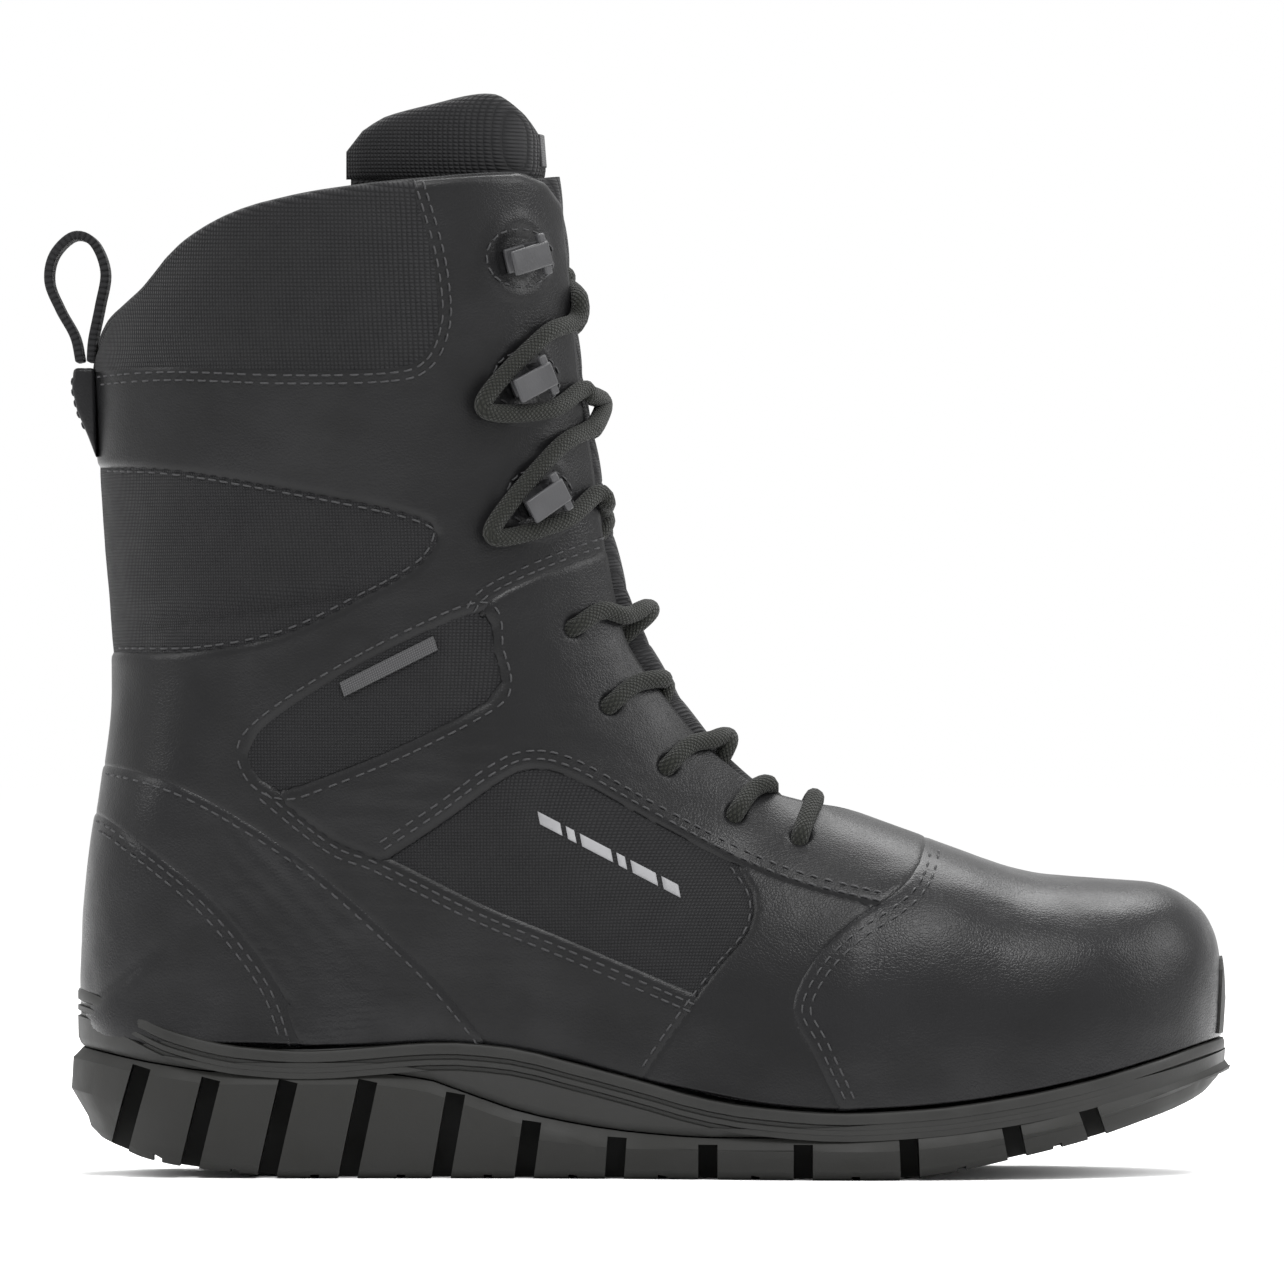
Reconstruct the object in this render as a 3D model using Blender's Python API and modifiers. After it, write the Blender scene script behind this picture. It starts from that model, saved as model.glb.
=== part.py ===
"""Steel toe work boot, right foot, as an assembly of separate sub-parts.

Frame: toe along +X, heel along -X, lateral (outer) side towards -Y, +Z up.
The origin is the middle of the boot's footprint, on the ground.
Lengths below are millimetres; meshes are written in metres by MM.
"""
import math

import bmesh
import bpy
import numpy as np
from mathutils import Matrix, Vector
from mathutils.bvhtree import BVHTree

MM = 0.001
GAP = 0.3                 # clearance kept between touching pieces
SEAM = 0.36               # gap that parts two panels along a seam
LATERAL, MEDIAL = -1, 1   # sides of the boot along Y

# Driving dimensions: sole
TOE_X, HEEL_X = 155.7, -149.3
HEEL_CENTRE_X, TOE_CENTRE_X = -115.0, 95.0
LUG_SLOT_WIDTH = 5.0
LUG_SLOT_DEPTH = 19.0
SLOT_X = (-135.4, -115.7, -95.1, -74.1, -50.1, -28.8, -5.9, 17.8, 42.5, 69.9, 97.5, 119.9)
SLOT_LEAN = (16, 14, 13, 12, 10, 8, 4, 0, 0, -3, -12, -20)   # degrees, top towards the toe
TREAD_GROOVE_WIDTH = 4.0
TREAD_GROOVE_DEPTH = 4.5
TREAD_GROOVE_HALF = 20.0

# Driving dimensions: upper
LEATHER = 2.1             # upper panels, leather and textile alike
LINING = 1.3
UPPER_INSET = 4.6         # upper's feather edge, in from the sole's outline
UPPER_HEEL_X, UPPER_TOE_X = -143.8, 151.2
FEATHER_LIFT = 1.1        # the panels' lower edge, above the midsole's floor
CAP_THICKNESS = 1.8
STIFFENER = 1.4
SHANK_WIDTH, SHANK_THICKNESS = 15.0, 1.2
COLLAR_FOAM = 4.0
THROAT_RIB = 8.15         # rib where the opening between the facings starts
LAST_RIB = 25.0
FACING_GAP = 14.0         # half-width of the opening between the facings
HEEL_RIB = 16.0           # rib that ends on the heel's lowest back point
EYELET_RADIUS = 4.1
LACE_STEP = 8.6           # how far above and below a hook's middle the lace passes
LACE_DIAMETER = 4.4

# Driving dimensions: tongue, loop, hooks
TONGUE_THICKNESS = 4.5
TONGUE_TOP_THICKNESS = 8.0
TONGUE_PIVOT = (50.0, 0.0, 84.0)
TOP_FOLD_PIVOT = (-30.0, 0.0, 262.0)
LOOP_PIVOT = (-145.4, 0.0, 215.0)
LOOP_WIDTH = 17.0
LOOP_THICKNESS = 2.4
FOOTBED_PIVOT = (138.0, 0.0, 35.0)
HOOK_LENGTH, HOOK_WIDTH, HOOK_HEIGHT = 12.9, 6.6, 9.8

# Rows are (front x, front z, end x, end z, arc a, width w, arc b, width wb, n).
# A rib runs in one plane from the front or top centreline to the feather edge
# or, above the heel, to the back centreline.  Its half-width climbs to w at
# the fraction a, holds, and closes again from the fraction b.
TOE_RIBS = (
    (151.8, 46.0, 151.2), (151.2, 55.0, 150.0), (149.2, 63.2, 147.0),
    (144.8, 69.4, 141.5), (136.0, 74.0, 133.0), (120.0, 75.6, 119.0),
    (100.0, 77.8, 100.0), (80.0, 84.6, 79.0),
)
SOLE_RIBS = (
    (60.0, 91.8, 55.0, 0.90, 47.7, 0.95, 47.7, 2.00),
    (44.3, 97.6, 32.0, 0.85, 41.0, 0.95, 41.8, 1.90),
    (31.4, 103.9, 6.0, 0.80, 35.5, 0.93, 35.2, 1.72),
    (19.6, 115.8, -22.0, 0.66, 34.0, 0.90, 32.6, 1.58),
    (10.5, 128.5, -52.0, 0.52, 35.0, 0.86, 32.8, 1.55),
    (4.0, 140.0, -82.0, 0.44, 36.0, 0.85, 33.4, 1.55),
    (0.2, 147.6, -110.0, 0.39, 37.0, 0.82, 33.2, 1.60),
    (-2.5, 156.5, -134.0, 0.35, 37.6, 0.80, 33.0, 1.66),
)
BACK_RIBS = (
    (-4.6, 165.0, -143.8, 42.0, 0.34, 38.0, 0.79, 33.2, 1.72),
    (-6.6, 174.5, -144.2, 62.0, 0.35, 38.3, 0.78, 33.8, 1.78),
    (-8.6, 184.0, -142.8, 82.0, 0.37, 38.6, 0.76, 34.6, 1.84),
    (-10.4, 193.0, -139.4, 104.0, 0.39, 39.0, 0.72, 35.5, 1.90),
    (-12.6, 204.0, -137.2, 126.0, 0.42, 39.8, 0.66, 37.5, 1.94),
    (-14.4, 217.0, -137.8, 148.0, 0.45, 41.0, 0.60, 39.5, 1.97),
    (-16.0, 230.0, -139.8, 172.0, 0.47, 42.5, 0.57, 42.0, 2.00),
    (-17.4, 243.0, -141.4, 198.0, 0.48, 44.0, 0.54, 44.0, 2.00),
    (-19.0, 256.0, -141.8, 224.0, 0.48, 45.0, 0.53, 45.0, 2.00),
    (-20.5, 268.0, -138.0, 262.0, 0.48, 45.5, 0.53, 45.5, 2.00),
)

# Height lines along the sole: (x, z)
GROUND = ((-152, 13), (-139, 8.7), (-128.8, 4.9), (-115, 2.4), (-100, 0.9), (-86, 0), (64, 0),
          (80, 1.8), (97, 5.4), (116, 10), (130, 14.4), (143, 18.8), (157, 26))
PARTING = ((-152, 34.2), (-145, 33.2), (-125, 29.6), (-108, 27.6), (-72, 27.6), (-55, 25.6),
           (-44, 21.8), (-28, 16.6), (0, 12), (20, 10.8), (42, 11), (70, 12.8), (97, 16),
           (121, 21.6), (140, 26), (157, 31))
BOARD = ((-152, 35.6), (-130, 35.2), (-108, 34), (-87, 33.6), (-50, 35.6), (-34, 34.3),
         (-18, 30.5), (0, 25.8), (16, 21.4), (30, 19.1), (53, 17.6), (75, 18.7), (95, 21.3),
         (115, 25.3), (134, 30.5), (148, 34.6), (157, 36.6))
RIM = ((-152, 49.4), (-146, 48.8), (-136, 45), (-122, 38.6), (-104, 34.5), (-87, 33.4))

# Seams as the side view shows them: hand-picked points (x, z)
SEAMS = {
    "vamp": ((56, 8), (52.8, 17.6), (45.4, 33.4), (40.4, 44.2), (45.4, 55.8), (55.1, 65.8),
             (64.9, 72.1), (70.9, 77.4), (74.2, 85), (74.8, 96)),
    "side_panel": ((24.3, 83.4), (30.2, 74), (29.3, 64.2), (20.7, 53.7), (10.1, 39.7), (1.4, 26.6),
                   (-3, 16)),
    "mesh_top": ((-67.3, 83.0), (-50.1, 94.5), (-37, 104), (-28.6, 107.4), (-18, 105.3),
                 (1.4, 94.5), (25.1, 82.1), (42.2, 75.5), (62.7, 70.5)),
    "quarter_line": ((16.3, 46.6), (-4.1, 55.3), (-20.1, 62.1), (-41.4, 70.8), (-66.7, 83.4),
                     (-79.1, 88.4), (-94.6, 100.4), (-97, 103)),
    "heel_band": ((-156, 107.2), (-138.8, 106.8), (-119.9, 101.8), (-98.6, 90), (-82.2, 78.4),
                  (-65.1, 63.2), (-52.2, 50.3), (-39.9, 35), (-34, 26)),
    "counter": ((-156, 95.2), (-142, 94.5), (-130.7, 87.9), (-114.6, 75), (-102.8, 62.1),
                (-94.1, 49.2), (-88.8, 33.7), (-87, 24)),
    "shaft_mesh": ((-156, 186.6), (-140.9, 186.4), (-119.9, 185), (-93, 180.5), (-66.2, 175.3),
                   (-54.3, 171.6), (-51.7, 167.4), (-56.7, 159.2), (-73.8, 149.5), (-93, 140.8),
                   (-114.6, 136.6), (-137.2, 136.3), (-156, 136.3)),
    "collar": ((-156, 210), (-125.4, 211.8), (-93, 210.8), (-66.2, 211.3), (-57, 214),
               (-53.3, 222.4), (-53.3, 231.1), (-55.4, 243), (-61, 262), (-63, 272)),
    "facing": ((-42.6, 144.6), (-38.6, 150.2), (-28.6, 155.5), (-12.8, 161.8), (6, 167)),
}
ANKLE_MESH_LOOP = ((-102.8, 110.5), (-99.6, 116.8), (-84.6, 127.6), (-60.9, 140.5),
                   (-40.4, 148.2), (-37.2, 137.4), (-35.3, 129), (-39.3, 123.4), (-60.9, 112.1),
                   (-82.2, 103.4), (-92, 100.6), (-99.5, 103.6))
BACK_SEAMS = ((105.5, 137.5), (185.2, 213.0))   # where the two quarters meet, low and high z
COLLAR_TOP = ((-158, 206), (-147, 211), (-141.4, 219.2), (-138.3, 225.8), (-130.7, 232.1),
              (-119.9, 243.9), (-103.8, 252.6), (-82.2, 257.4), (-55.4, 260.5), (-30.9, 262.4),
              (-24, 260), (-18.6, 253), (-8, 246))

# A point inside each panel (x, z, side), which names the piece cut there
PANELS = {
    "toe_vamp": ("leather", 100, 50, LATERAL),
    "side_panel_lateral": ("leather", 32, 50, LATERAL),
    "side_panel_medial": ("leather", 32, 50, MEDIAL),
    "eyestay": ("leather", -25, 118, LATERAL),
    "quarter_lateral": ("leather", -30, 55, LATERAL),
    "quarter_medial": ("leather", -30, 55, MEDIAL),
    "heel_band": ("leather", -85, 62, LATERAL),
    "heel_counter_cover": ("leather", -115, 55, LATERAL),
    "quarter_mesh_lateral": ("textile", -20, 85, LATERAL),
    "quarter_mesh_medial": ("textile", -20, 85, MEDIAL),
    "ankle_mesh_lateral": ("textile", -60, 125, LATERAL),
    "ankle_mesh_medial": ("textile", -60, 125, MEDIAL),
    "shaft_mesh": ("textile", -95, 160, LATERAL),
    "collar_mesh": ("textile", -95, 230, LATERAL),
}

# Lace holes and hooks on the facing: (rib, half-width there)
EYELETS = ((9.05, 20.6), (10.2, 17.5), (11.45, 19.5), (12.9, 22.6), (15.1, 24.6))
HOOKS = ((18.65, 28.2), (21.0, 28.6), (23.15, 28.9))

MATERIALS = {
    "leather": ((0.022, 0.022, 0.023), 0.42, 0.0),
    "textile": ((0.013, 0.013, 0.014), 0.85, 0.0),
    "rubber": ((0.028, 0.028, 0.025), 0.62, 0.0),
    "foam": ((0.10, 0.10, 0.10), 0.95, 0.0),
    "lining": ((0.03, 0.03, 0.032), 0.9, 0.0),
    "steel": ((0.55, 0.56, 0.58), 0.35, 1.0),
    "board": ((0.35, 0.30, 0.22), 0.9, 0.0),
    "plate": ((0.75, 0.72, 0.62), 0.8, 0.0),
    "hook": ((0.08, 0.08, 0.082), 0.45, 0.0),
    "lace": ((0.018, 0.019, 0.016), 0.9, 0.0),
    "label": ((0.05, 0.05, 0.052), 0.7, 0.0),
}


# ---------------------------------------------------------------- scene helpers

def clear_scene():
    for obj in list(bpy.data.objects):
        bpy.data.objects.remove(obj, do_unlink=True)


def new_collection(name):
    collection = bpy.data.collections.new(name)
    bpy.context.scene.collection.children.link(collection)
    return collection


def make_material(name):
    colour, roughness, metallic = MATERIALS[name]
    material = bpy.data.materials.new(name)
    material.use_nodes = True
    shader = material.node_tree.nodes["Principled BSDF"]
    shader.inputs["Base Color"].default_value = (*colour, 1.0)
    shader.inputs["Roughness"].default_value = roughness
    shader.inputs["Metallic"].default_value = metallic
    return material


class Boot:
    """The boot's collections and materials, and the empties its moving pieces hang on."""

    def __init__(self):
        self.parts = new_collection("steel_toe_work_boot")
        self.cutters = new_collection("cutters")
        self.materials = {name: make_material(name) for name in MATERIALS}

    def add_bmesh(self, name, material, mesh_data):
        """Make an object of a bmesh given in millimetres."""
        mesh_data.transform(Matrix.Scale(MM, 4))
        mesh = bpy.data.meshes.new(name)
        mesh_data.to_mesh(mesh)
        mesh_data.free()
        mesh.materials.append(self.materials[material])
        obj = bpy.data.objects.new(name, mesh)
        self.parts.objects.link(obj)
        return obj

    def as_cutter(self, obj):
        self.parts.objects.unlink(obj)
        self.cutters.objects.link(obj)
        obj.hide_render = True
        obj.display_type = "WIRE"
        return obj

    def hang_on_axis(self, name, pivot, pieces):
        """Parent the pieces to an empty that stands on their joint's axis."""
        empty = bpy.data.objects.new(name, None)
        empty.location = Vector(pivot) * MM
        self.parts.objects.link(empty)
        for piece in pieces:
            piece.parent = empty
            piece.matrix_parent_inverse = Matrix.Translation(-empty.location)


def apply_modifiers(obj):
    """Turn an object with modifiers, or a curve, into a plain mesh."""
    graph = bpy.context.evaluated_depsgraph_get()
    mesh = bpy.data.meshes.new_from_object(obj.evaluated_get(graph))
    obj.modifiers.clear()
    obj.data = mesh
    return obj


def solidify(obj, thickness, offset=-1.0):
    modifier = obj.modifiers.new("thickness", "SOLIDIFY")
    modifier.thickness = thickness * MM
    modifier.offset = offset
    return modifier


def boolean(obj, cutter, operation="DIFFERENCE", solver="EXACT"):
    modifier = obj.modifiers.new("cut", "BOOLEAN")
    modifier.operation = operation
    modifier.solver = solver
    modifier.object = cutter
    return modifier


# ---------------------------------------------------------------- curves and lines

def through(rows, t):
    """Catmull-Rom value at t of equally spaced rows; whole t gives a row itself."""
    rows = np.asarray(rows, dtype=float)
    last = len(rows) - 1
    i = min(int(t), last - 1)
    f = t - i
    p1, p2 = rows[i], rows[i + 1]
    p0 = rows[i - 1] if i > 0 else 2 * p1 - p2
    p3 = rows[i + 2] if i + 2 <= last else 2 * p2 - p1
    bend = 2 * p0 - 5 * p1 + 4 * p2 - p3
    twist = 3 * p1 - p0 - 3 * p2 + p3
    return p1 + 0.5 * f * (p2 - p0 + f * (bend + f * twist))


def smooth_points(points, step, closed=False):
    """Points about one step apart on a smooth curve through the given ones."""
    rows = [np.asarray(p, dtype=float) for p in points]
    if closed:
        rows = [rows[-1], *rows, rows[0], rows[1]]
    first = 1 if closed else 0
    spans = len(points) if closed else len(points) - 1
    result = []
    for i in range(first, first + spans):
        pieces = max(1, round(float(np.linalg.norm(rows[i + 1] - rows[i])) / step))
        result += [through(rows, i + k / pieces) for k in range(pieces)]
    if not closed:
        result.append(rows[-1])
    return result


def height(line, x):
    """Height of a line at x, smooth and without overshoot between its points."""
    xs, zs = zip(*line)
    x = min(max(x, xs[0]), xs[-1])
    i = min(int(np.searchsorted(xs, x, side="right")) - 1, len(xs) - 2)
    slope = [(zs[k + 1] - zs[k]) / (xs[k + 1] - xs[k]) for k in range(len(xs) - 1)]

    def tangent(k):
        if k == 0 or k == len(xs) - 1 or slope[k - 1] * slope[k] <= 0:
            return 0.0 if 0 < k < len(xs) - 1 else slope[min(k, len(slope) - 1)]
        return 2 * slope[k - 1] * slope[k] / (slope[k - 1] + slope[k])

    span = xs[i + 1] - xs[i]
    f = (x - xs[i]) / span
    rise = zs[i] * (1 + 2 * f) * (1 - f) ** 2 + zs[i + 1] * f * f * (3 - 2 * f)
    return rise + span * (tangent(i) * f * (1 - f) ** 2 - tangent(i + 1) * f * f * (1 - f))


def smoothstep(low, high, value):
    f = np.clip((value - low) / (high - low), 0.0, 1.0)
    return f * f * (3 - 2 * f)


HALF_WIDTH = ((-115, 37.6), (-96, 38.7), (-62, 36.4), (-30, 35.5), (0, 38.5), (30, 46),
              (55, 52), (78, 53.6), (95, 53.2))
CENTRE = ((-150, -1.8), (-96, -2.1), (-60, -4), (-30, -5.3), (0, -6.2), (30, -5.4), (55, -3),
          (80, -0.1), (105, 2.4), (125, 3.8), (140, 4.6), (156, 5))


def half_width(x, inset=0.0, heel_x=HEEL_X, toe_x=TOE_X):
    """Half-width of the sole's outline at x, elliptical round the heel and the toe."""
    middle = height(HALF_WIDTH, x) - inset
    if x < HEEL_CENTRE_X:
        reach = (HEEL_CENTRE_X - x) / (HEEL_CENTRE_X - heel_x)
        return middle * math.sqrt(max(0.0, 1 - reach ** 2))
    if x > TOE_CENTRE_X:
        reach = (x - TOE_CENTRE_X) / (toe_x - TOE_CENTRE_X)
        return middle * max(0.0, 1 - reach ** 2.15) ** 0.5
    return middle


def centre(x, z=0.0):
    """Sideways place of the boot's centreline: the foot curves, the shaft is straight."""
    return height(CENTRE, x) * (1 - float(smoothstep(50, 150, z)))


# ---------------------------------------------------------------- the upper's surface

def rib_rows():
    rows = []
    for front_x, front_z, end_x in TOE_RIBS:
        wide = half_width(end_x, UPPER_INSET, UPPER_HEEL_X, UPPER_TOE_X)
        end_z = height(BOARD, end_x) + FEATHER_LIFT
        rows.append((front_x, front_z, end_x, end_z, 0.90, wide, 0.95, wide, 2.45))
    for front_x, front_z, end_x, *shape in SOLE_RIBS:
        rows.append((front_x, front_z, end_x, height(BOARD, end_x) + FEATHER_LIFT, *shape))
    rows.extend(BACK_RIBS)
    return np.asarray(rows)


RIBS = rib_rows()
SECTION = (1 - np.cos(np.linspace(0, math.pi, 73))) / 2


def rib_curve(rib, side):
    """Points of one rib on one side, from the front centreline to its end."""
    fx, fz, ex, ez, a, w, b, wb, n = through(RIBS, rib)
    end = half_width(ex, UPPER_INSET, UPPER_HEEL_X, UPPER_TOE_X) if rib < HEEL_RIB else 0.0
    if rib < len(TOE_RIBS):
        w = wb = end
    climb = np.clip(SECTION / a, 0, 1)
    front = w * (1 - (1 - climb) ** n) ** (1 / n)
    close = np.clip((1 - SECTION) / (1 - b), 0, 1)
    back = end + (wb - end) * (1 - (1 - close) ** 2.1) ** (1 / 2.1)
    mix = smoothstep(a * 0.8, b, SECTION)
    half = front * (1 - mix) + back * mix
    x = fx + (ex - fx) * SECTION
    z = fz + (ez - fz) * SECTION
    middle = np.array([centre(px, pz) for px, pz in zip(x, z)])
    return np.column_stack((x, middle + side * half, z)), half


def on_rib(rib, half, side, lift=0.0):
    """Point on the front of a rib at a given half-width, raised off the surface."""
    def foot(r, h):
        points, halves = rib_curve(r, side)
        front = int(np.argmax(halves)) + 1
        return np.array([np.interp(h, halves[:front], points[:front, k]) for k in range(3)])

    point = foot(rib, half)
    along = foot(rib + 0.05, half) - foot(rib - 0.05, half)
    across = foot(rib, half + 0.4) - foot(rib, max(0.0, half - 0.4))
    normal = np.cross(along, across)
    chord = rib_curve(rib, side)[0]
    inside = (chord[0] + chord[-1]) / 2 * np.array([1, 0, 1])
    normal *= math.copysign(1.0, float(np.dot(normal, point - inside))) / np.linalg.norm(normal)
    return Vector(point + normal * lift), Vector(normal)


def facing_gap(rib):
    """Half-width of the opening between the facings."""
    opened = float(smoothstep(THROAT_RIB, 9.2, rib)) ** 0.5
    return FACING_GAP * opened * (0.66 + 0.34 * float(smoothstep(10, 14, rib)))


def rib_slice(rib, side, columns, start_half, end_half=None, back_of=None):
    """Points along a rib, equally far apart.

    They run from one half-width to another or, without the second, to the rib's end;
    with back_of = (x, z) they start where the rib passes behind and below that corner.
    """
    points, halves = rib_curve(rib, side)
    run = np.concatenate(([0], np.cumsum(np.linalg.norm(np.diff(points, axis=0), axis=1))))
    front = int(np.argmax(halves)) + 1
    start, stop = 0.0, run[-1]
    if start_half > 0:
        start = float(np.interp(start_half, halves[:front], run[:front]))
    if end_half:
        stop = float(np.interp(end_half, halves[:front], run[:front]))
    if back_of:
        inside = (points[:, 0] <= back_of[0]) & (points[:, 2] <= back_of[1])
        start = run[int(np.argmax(inside))]
    marks = np.linspace(start, stop, columns)
    return [tuple(np.interp(m, run, points[:, k]) for k in range(3)) for m in marks]


def grid_faces(mesh_data, rows, flip):
    """Join rows of bmesh vertices with quads."""
    for upper, lower in zip(rows, rows[1:]):
        for i in range(len(upper) - 1):
            corners = [upper[i], upper[i + 1], lower[i + 1], lower[i]]
            mesh_data.faces.new(corners[::-1] if flip else corners)


def upper_sheet(stations, columns, start=lambda rib: 0.0, end=lambda rib: None, depth=None,
                back_of=None, sides=(LATERAL, MEDIAL)):
    """Open sheet on the upper's surface, facing outwards, and welded where its sides meet."""
    sheet = bmesh.new()
    for side in sides:
        rows = []
        for rib in stations:
            points = rib_slice(rib, side, columns, start(rib), end(rib), back_of)
            rows.append([sheet.verts.new(p) for p in points])
        grid_faces(sheet, rows, side == LATERAL)
    bmesh.ops.remove_doubles(sheet, verts=sheet.verts, dist=0.02)
    bmesh.ops.dissolve_degenerate(sheet, edges=sheet.edges, dist=0.01)
    sheet.normal_update()
    if depth:
        moves = [v.normal * -depth(v.co) for v in sheet.verts]
        for vert, move in zip(sheet.verts, moves):
            vert.co += move
        sheet.normal_update()
    return sheet


def face_outwards(body):
    """Turn all faces of a closed bmesh to its outside."""
    bmesh.ops.recalc_face_normals(body, faces=body.faces)
    if body.calc_volume(signed=True) < 0:
        bmesh.ops.reverse_faces(body, faces=body.faces)


# ---------------------------------------------------------------- sole

def ring_x(heel_x, toe_x, share):
    """Place along an outline, with more steps near its round ends."""
    swing = (1 - math.cos(math.pi * share)) / 2
    swing = 0.35 * swing + 0.65 * float(smoothstep(0, 1, swing))
    return heel_x + (toe_x - heel_x) * swing


def sole_body(boot, name, material, levels, steps=30):
    """Closed body of stacked outlines; a level is (inset, heel x, toe x, height line, lift)."""
    body = bmesh.new()
    rings = []
    for inset, heel_x, toe_x, line, lift in levels:
        sides = {LATERAL: [], MEDIAL: []}
        for i in range(steps + 1):
            x = ring_x(heel_x, toe_x, i / steps)
            z = height(line, x) + lift
            wide = half_width(x, inset, heel_x, toe_x)
            ends = i in (0, steps)
            for side in sides:
                if ends and side == MEDIAL:
                    sides[side].append(sides[LATERAL][-1])
                    continue
                place = (x, centre(x) + side * wide, z)
                sides[side].append(body.verts.new(place))
        rings.append(sides)
    for lower, upper in zip(rings, rings[1:]):
        for side in (LATERAL, MEDIAL):
            grid_faces(body, [lower[side], upper[side]], side == MEDIAL)
    for ring in (rings[0], rings[-1]):
        for i in range(steps):
            corners = [ring[LATERAL][i], ring[LATERAL][i + 1], ring[MEDIAL][i + 1], ring[MEDIAL][i]]
            body.faces.new(list(dict.fromkeys(corners)))
    face_outwards(body)
    return boot.add_bmesh(name, material, body)


def rim_line():
    """Top edge of the midsole: the heel cup's rim, then the feather line."""
    return RIM + tuple(p for p in BOARD if p[0] > RIM[-1][0])


def box_cutter(boot, name, size, place, lean=0.0, turn=0.0):
    data = bmesh.new()
    bmesh.ops.create_cube(data, size=1.0)
    data.transform(Matrix.Diagonal((*size, 1.0)))
    data.transform(Matrix.Rotation(math.radians(turn), 4, "Z"))
    data.transform(Matrix.Rotation(math.radians(lean), 4, "Y"))
    data.transform(Matrix.Translation(place))
    return boot.as_cutter(boot.add_bmesh(name, "rubber", data))


def make_outsole(boot):
    levels = (
        (7.0, -139.0, 146.0, GROUND, 0.0),
        (2.4, -145.0, 153.6, GROUND, 4.6),
        (0.0, HEEL_X, TOE_X, ((-152, 23), (-100, 15), (-60, 14), (0, 8), (60, 7.6), (100, 12),
                              (157, 28.6)), 0.0),
        (1.2, -148.0, 155.3, PARTING, -2.2),
        (2.6, -146.2, 154.0, PARTING, 0.0),
    )
    outsole = sole_body(boot, "outsole", "rubber", levels)
    for i, (x, lean) in enumerate(zip(SLOT_X, SLOT_LEAN)):
        top = height(PARTING, x) - 1.6
        tall = top + 12
        for side, word in ((LATERAL, "lateral"), (MEDIAL, "medial")):
            edge = centre(x) + side * (half_width(x) + 8 - LUG_SLOT_DEPTH / 2 - 4)
            place = (x - math.tan(math.radians(lean)) * (tall / 2 - top + 9), edge, top - tall / 2)
            size = (LUG_SLOT_WIDTH, LUG_SLOT_DEPTH + 8, tall)
            slot = box_cutter(boot, f"slot_{word}_{i}", size, place, lean)
            boolean(outsole, slot, solver="MANIFOLD")
    for i, (x, after) in enumerate(zip(SLOT_X, SLOT_X[1:])):
        middle = (x + after) / 2
        place = (middle, centre(middle), height(GROUND, middle))
        size = (TREAD_GROOVE_WIDTH, 2 * TREAD_GROOVE_HALF, 2 * TREAD_GROOVE_DEPTH)
        groove = box_cutter(boot, f"tread_groove_{i}", size, place)
        boolean(outsole, groove, solver="MANIFOLD")
    return outsole


def make_midsole(boot):
    rim = rim_line()
    levels = (
        (2.6, -146.2, 154.0, PARTING, 1.5 * GAP),
        (1.2, -147.6, 154.4, rim, -2.0),
        (1.5, -147.1, 154.0, rim, 0.0),
        (3.0, -145.4, 151.9, rim, 0.0),
        (3.1, -145.3, 151.7, BOARD, 0.0),
    )
    return sole_body(boot, "midsole", "rubber", levels)


def flat_layer(boot, name, material, inset, heel_x, toe_x, low, high, steps=18):
    levels = ((inset, heel_x, toe_x, BOARD, low), (inset, heel_x, toe_x, BOARD, high))
    return sole_body(boot, name, material, levels, steps)


def make_shank(boot):
    """Steel strip that stiffens the waist, bent along the insole."""
    data = bmesh.new()
    xs = np.linspace(-92, 14, 9)
    rows = [[data.verts.new((x, centre(x) + y, height(BOARD, x) + 1.2)) for x in xs]
            for y in (-SHANK_WIDTH / 2, SHANK_WIDTH / 2)]
    grid_faces(data, rows, False)
    shank = boot.add_bmesh("steel_shank", "steel", data)
    solidify(shank, SHANK_THICKNESS, 1.0)


def make_sole_layers(boot):
    """Shank, puncture plate, insole board and removable footbed, from the bottom up."""
    make_shank(boot)
    flat_layer(boot, "puncture_plate", "plate", 16.0, -131.0, 140.0, 3.6, 4.5)
    flat_layer(boot, "insole_board", "board", 16.0, -131.0, 140.0, 4.8, 6.0)
    footbed_levels = (
        (17.0, -130.0, 138.6, BOARD, 6.4),
        (17.0, -130.0, 138.6, BOARD, 8.8),
        (19.0, -128.2, 137.0, BOARD, 10.4),
    )
    footbed = sole_body(boot, "footbed", "foam", footbed_levels, 18)
    boot.hang_on_axis("footbed_axis", FOOTBED_PIVOT, [footbed])


def make_toe_bumper(boot):
    stations = (0.0, 0.3, 0.6, 0.9, 1.2)
    sheet = upper_sheet(stations, 7, depth=lambda p: -GAP)
    bumper = boot.add_bmesh("toe_bumper", "rubber", sheet)
    solidify(bumper, 2.4, 1.0)
    foot = box_cutter(boot, "bumper_foot", (30, 60, 20), (150, 6, height(BOARD, TOE_X) - 9.4))
    boolean(bumper, foot)


# ---------------------------------------------------------------- upper

def lining_depth(point):
    """How far the lining's outer face lies under the upper's surface."""
    heel_layers, collar_layers = STIFFENER + 9 * GAP, COLLAR_FOAM + 6 * GAP
    toe = (CAP_THICKNESS + GAP) * float(smoothstep(84, 92, point.x))
    heel = float(smoothstep(-78, -90, point.x)) * float(smoothstep(108, 94, point.z))
    collar = float(smoothstep(-52, -66, point.x)) * float(smoothstep(178, 196, point.z))
    return LEATHER + 5 * GAP + toe + heel_layers * heel + collar_layers * collar


def wall_cutter(boot, name, points, closed=False):
    """Thin wall across the whole boot, standing on a seam of the side view."""
    reach = 75.0
    data = bmesh.new()
    line = smooth_points(points, 9.0, closed)
    rows = [[data.verts.new((p[0], y, p[1])) for p in line] for y in (-reach, reach)]
    if closed:
        for row in rows:
            row.append(row[0])
    grid_faces(data, rows, False)
    cutter = boot.add_bmesh(name, "leather", data)
    solidify(cutter, SEAM, 0.0)
    apply_modifiers(cutter)
    return boot.as_cutter(cutter)


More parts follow.
